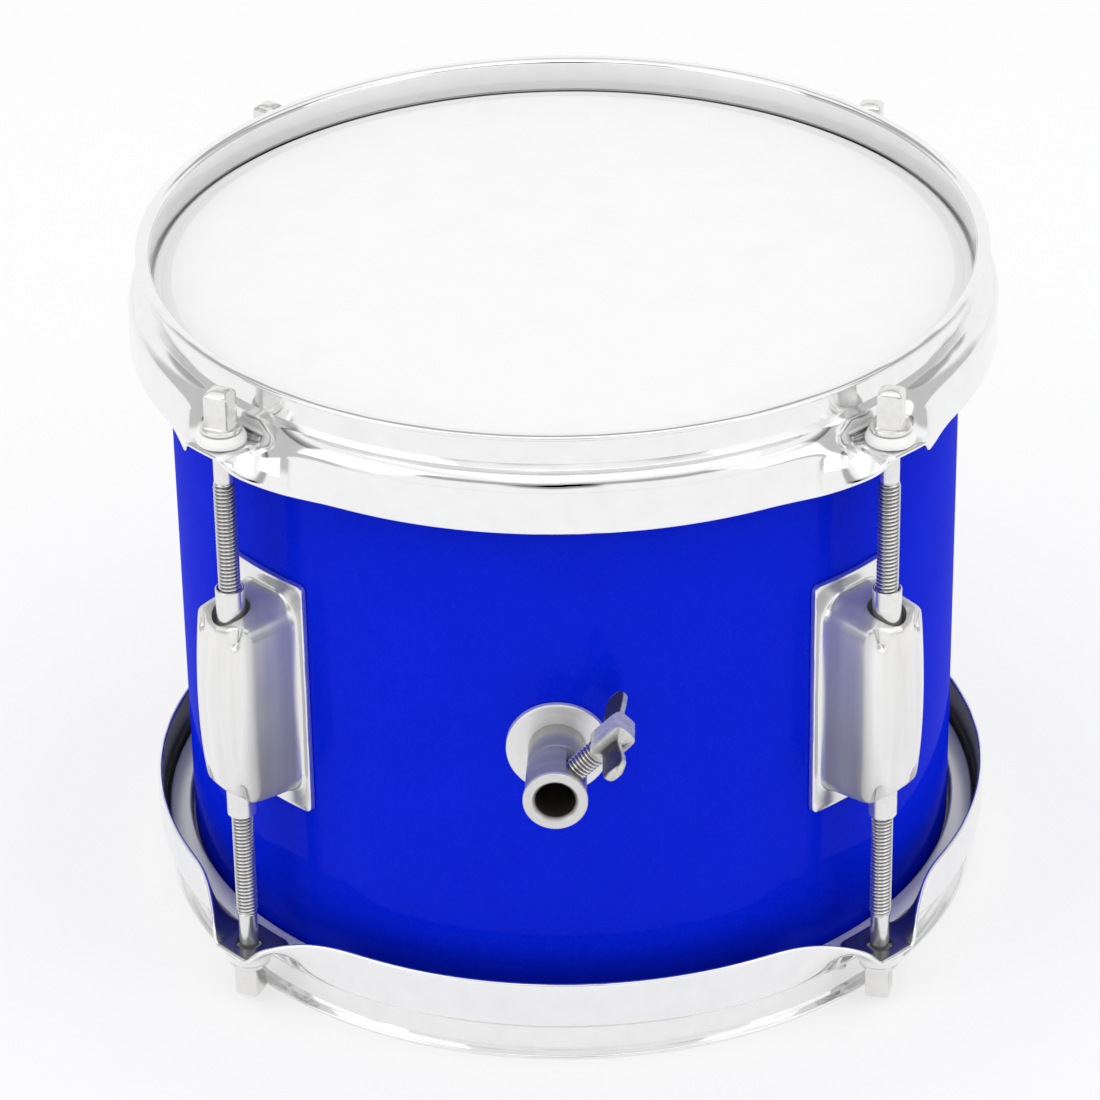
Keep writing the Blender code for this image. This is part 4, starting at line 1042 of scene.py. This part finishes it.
def wing_grid():
    """Handle lofted along its two wings, and its bright share: full at the hub, the rim and the tips.

    Its rows are superellipses across the wings: thick and long at the hub, then a paddle whose
    half length falls as a circle towards each tip.
    """
    angles = full_turn(WING_SIDES)
    side = np.sin(np.linspace(-math.pi / 2, math.pi / 2, WING_ROWS))[:, None] * WING_SPAN
    span = np.abs(side)
    hub = 1 - ramp(span, HUB_SPAN, HUB_BLEND)
    hub = hub * hub * (3 - 2 * hub)
    wing = 1 - hub
    tip_round = np.sqrt(np.clip(1 - ramp(span, WING_SPAN - WING_TIP, WING_TIP) ** 2, 0.0004, 1))
    wing_half = (WING_HALF + WING_SPREAD * ramp(span, WING_START, 0.008)) * tip_round
    wing_middle = WING_MIDDLE + WING_RISE * ramp(span, WING_START, 0.011)
    half_out = (HUB_END - HUB_START) / 2 * hub + wing_half * wing
    middle_out = (HUB_END + HUB_START) / 2 * hub + wing_middle * wing
    thick = HUB_THICK * hub + WING_THICK * wing * np.clip(tip_round * 1.6, 0, 1)
    power = HUB_POWER * hub + WING_POWER * wing
    cosine = np.abs(np.cos(angles)) ** (2 / power) * np.sign(np.cos(angles))
    sine = np.abs(np.sin(angles)) ** (2 / power) * np.sign(np.sin(angles))
    grid = np.stack([thick * cosine, side + 0 * angles, middle_out + half_out * sine], -1)
    rim = ramp(np.abs(sine), 0.93, 0.05) + ramp(span, WING_SPAN - 0.0012, 0.0008)
    return grid, np.clip(rim + hub, 0, 1)


def make_clamp():
    """Stud with a right-handed thread, and the cast handle bored to sit on it."""
    angles = full_turn(ROD_SIDES)
    along = np.arange(STUD_TIP, STUD_END, STUD_PITCH / 12)
    ridge = thread_ridge(along, STUD_PITCH, angles)
    radius = STUD_RADIUS - STUD_THREAD + STUD_THREAD * ridge * ramp(along, STUD_TIP, STUD_PITCH)[:, None]
    grid = round_grid(radius, along[:, None], angles)
    # Dark oil and painted shade in the stud's thread roots.
    stud = surface("clamp_screw", grid, THREAD, matrix=stud_matrix(), bright_share=ridge)
    dress(stud, "clamp_stud", "bright_steel", "clamp_stud")

    grid, bright_share = wing_grid()
    wing = surface("wing_casting", grid, HANDLE, matrix=stud_matrix(), sharp=60, bright_share=bright_share)
    cut(wing, post(STUD_RADIUS + 0.0001, WING_BORE_START, STUD_END, stud_matrix(), 40))
    dress(wing, "wing_handle", "bright_steel", "wing_handle")


def make_vent():
    """Rolled eyelet through the shell and its covering."""
    seat = WRAP_OUTER + 0.0003
    outline = rounded([(VENT_BORE, VENT_INNER - VENT_ROLL, 0.0003),
                       (VENT_RIM, VENT_INNER - VENT_ROLL, 0.0003), (VENT_RIM, VENT_INNER, 0.0002),
                       (VENT_TUBE, VENT_INNER, 0), (VENT_TUBE, seat, 0), (VENT_RIM, seat, 0.0002),
                       (VENT_RIM - 0.0002, seat + VENT_ROLL, 0.0004),
                       (VENT_BORE, seat + VENT_ROLL + 0.0001, 0.0005)], 5)
    eyelet = turned("vent_ring", outline, CHROME, 80, matrix=out_matrix(VENT_ANGLE, MID))
    dress(eyelet, "drum", "chrome", "vent_eyelet")


def finish_hidden_nodes():
    """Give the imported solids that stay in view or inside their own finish."""
    plain = {"shell": PLYWOOD, "bracket_bolt": ZINC, "bracket_backing_disc": ZINC}
    for corner in CORNERS:
        plain["nut_spacer_" + corner] = NYLON
        for level in ("upper", "lower"):
            plain[f"lug_screw_{level}_{corner}"] = ZINC
    for name, material in plain.items():
        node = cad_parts[name]
        node.data.materials.clear()
        node.data.materials.append(material)


def make_camera():
    """Camera of the fitted view, rolled about its own line of sight."""
    yaw = CAMERA_YAW
    rise = CAMERA_ELEVATION
    back = Vector((math.sin(yaw) * math.cos(rise), -math.cos(yaw) * math.cos(rise), math.sin(rise)))
    level = Vector((math.cos(yaw), math.sin(yaw), 0))
    up = back.cross(level)
    right = math.cos(CAMERA_ROLL) * level + math.sin(CAMERA_ROLL) * up
    top = math.cos(CAMERA_ROLL) * up - math.sin(CAMERA_ROLL) * level
    eye = Vector((0, AXIS_Y, CAMERA_TARGET_HEIGHT)) + back * CAMERA_DISTANCE + right * CAMERA_ASIDE
    camera = bpy.data.objects.new("camera", bpy.data.cameras.new("camera"))
    camera.data.lens = CAMERA_LENS
    camera.data.sensor_width = CAMERA_SENSOR
    camera.data.clip_end = CAMERA_CLIP
    camera.matrix_world = Matrix.Translation(eye) @ Matrix((right, top, back)).transposed().to_4x4()
    bpy.context.scene.collection.objects.link(camera)
    bpy.context.scene.camera = camera


def make_lamp(name, place, size, power):
    """Soft square lamp that faces the drum."""
    light = bpy.data.lights.new(name, "AREA")
    light.shape = "RECTANGLE"
    light.size, light.size_y = size
    light.energy = power
    lamp = bpy.data.objects.new(name, light)
    lamp.location = place
    aim = Vector((0, AXIS_Y, MID)) - Vector(place)
    lamp.rotation_euler = aim.to_track_quat("-Z", "Y").to_euler()
    bpy.context.scene.collection.objects.link(lamp)


def make_floor():
    """White paper that keeps part of the shadow and looks evenly lit to the camera."""
    bpy.ops.mesh.primitive_circle_add(vertices=96, radius=6, fill_type="NGON")
    floor = bpy.context.object
    floor.name = "studio_floor"
    paper = Finish("floor_paper", 0.0)
    fibre = paper.noise(40.0, 2.0)
    tone = paper.blend(fibre, colour(0.93, 0.93, 0.93), colour(0.95, 0.95, 0.95))
    paper.shader.inputs["Specular IOR Level"].default_value = 0.0
    paper.set(Base_Color=tone, Roughness=1.0)
    seen = paper.node("ShaderNodeLightPath", output="Is Camera Ray")
    for kind in ("Is Glossy Ray", "Is Transmission Ray"):
        seen = seen + paper.node("ShaderNodeLightPath", output=kind)
    glow = paper.node("ShaderNodeEmission", {}, {"Color": colour(1, 1, 1), "Strength": 1.0})
    lit = Wire(paper, paper.shader.outputs[0])
    mixed = paper.node("ShaderNodeMixShader", {}, {0: seen * 0.6, 1: lit, 2: glow})
    paper.feed(paper.tree.nodes["Material Output"].inputs["Surface"], mixed)
    floor.data.materials.append(paper.material)


def make_room():
    """Even white room to the camera, a soft sky for light, and dark cards that the metal mirrors."""
    world = bpy.data.worlds.new("studio")
    bpy.context.scene.world = world
    world.use_nodes = True
    room = Finish("room", tree=world.node_tree)
    direction = room.node("ShaderNodeTexCoord", output="Generated")
    along = {"operation": "DOT_PRODUCT"}
    rise = room.node("ShaderNodeVectorMath", along, {0: direction, 1: (0, 0, 1)}, "Value")
    to_lens = (0, -0.866, 0.5)
    front = room.node("ShaderNodeVectorMath", along, {0: direction, 1: to_lens}, "Value")
    aside = room.node("ShaderNodeVectorMath", along, {0: direction, 1: (1, 0, 0)}, "Value")
    camera_ray = room.node("ShaderNodeLightPath", output="Is Camera Ray")
    glossy_ray = room.node("ShaderNodeLightPath", output="Is Glossy Ray")
    sky = 0.62 + rise.between(-0.1, 0.9) * 0.3
    lens_card = front.between(0.975, 0.998) * 0.75
    high_band = rise.between(0.5, 0.58) * (1 - rise.between(0.68, 0.78)) * 0.6
    ceiling = rise.between(0.93, 0.97) * 0.55
    side_cards = aside.power(2.0).between(0.5, 0.75) * 0.45
    mirrored = 1 - lens_card - high_band - ceiling - side_cards
    strength = sky * (1 - glossy_ray) + mirrored * glossy_ray
    strength = strength * (1 - camera_ray) + camera_ray
    background = world.node_tree.nodes["Background"]
    background.inputs["Color"].default_value = colour(1, 1, 1)
    room.feed(background.inputs["Strength"], strength)


def make_studio():
    """Floor, room and three soft lamps, shown without any film look."""
    make_floor()
    make_room()
    make_lamp("left_lamp", (-1.3, -0.8, 1.1), (1.0, 1.4), 4)
    make_lamp("right_lamp", (1.4, -0.7, 0.9), (1.0, 1.4), 3)
    make_lamp("top_lamp", (0.1, -0.2, 1.6), (1.3, 1.3), 4)
    bpy.context.scene.view_settings.view_transform = "Standard"


make_camera()
make_studio()
make_hoops()
make_covering()
make_heads()
make_lugs()
make_rods()
make_socket()
make_clamp()
make_vent()
finish_hidden_nodes()
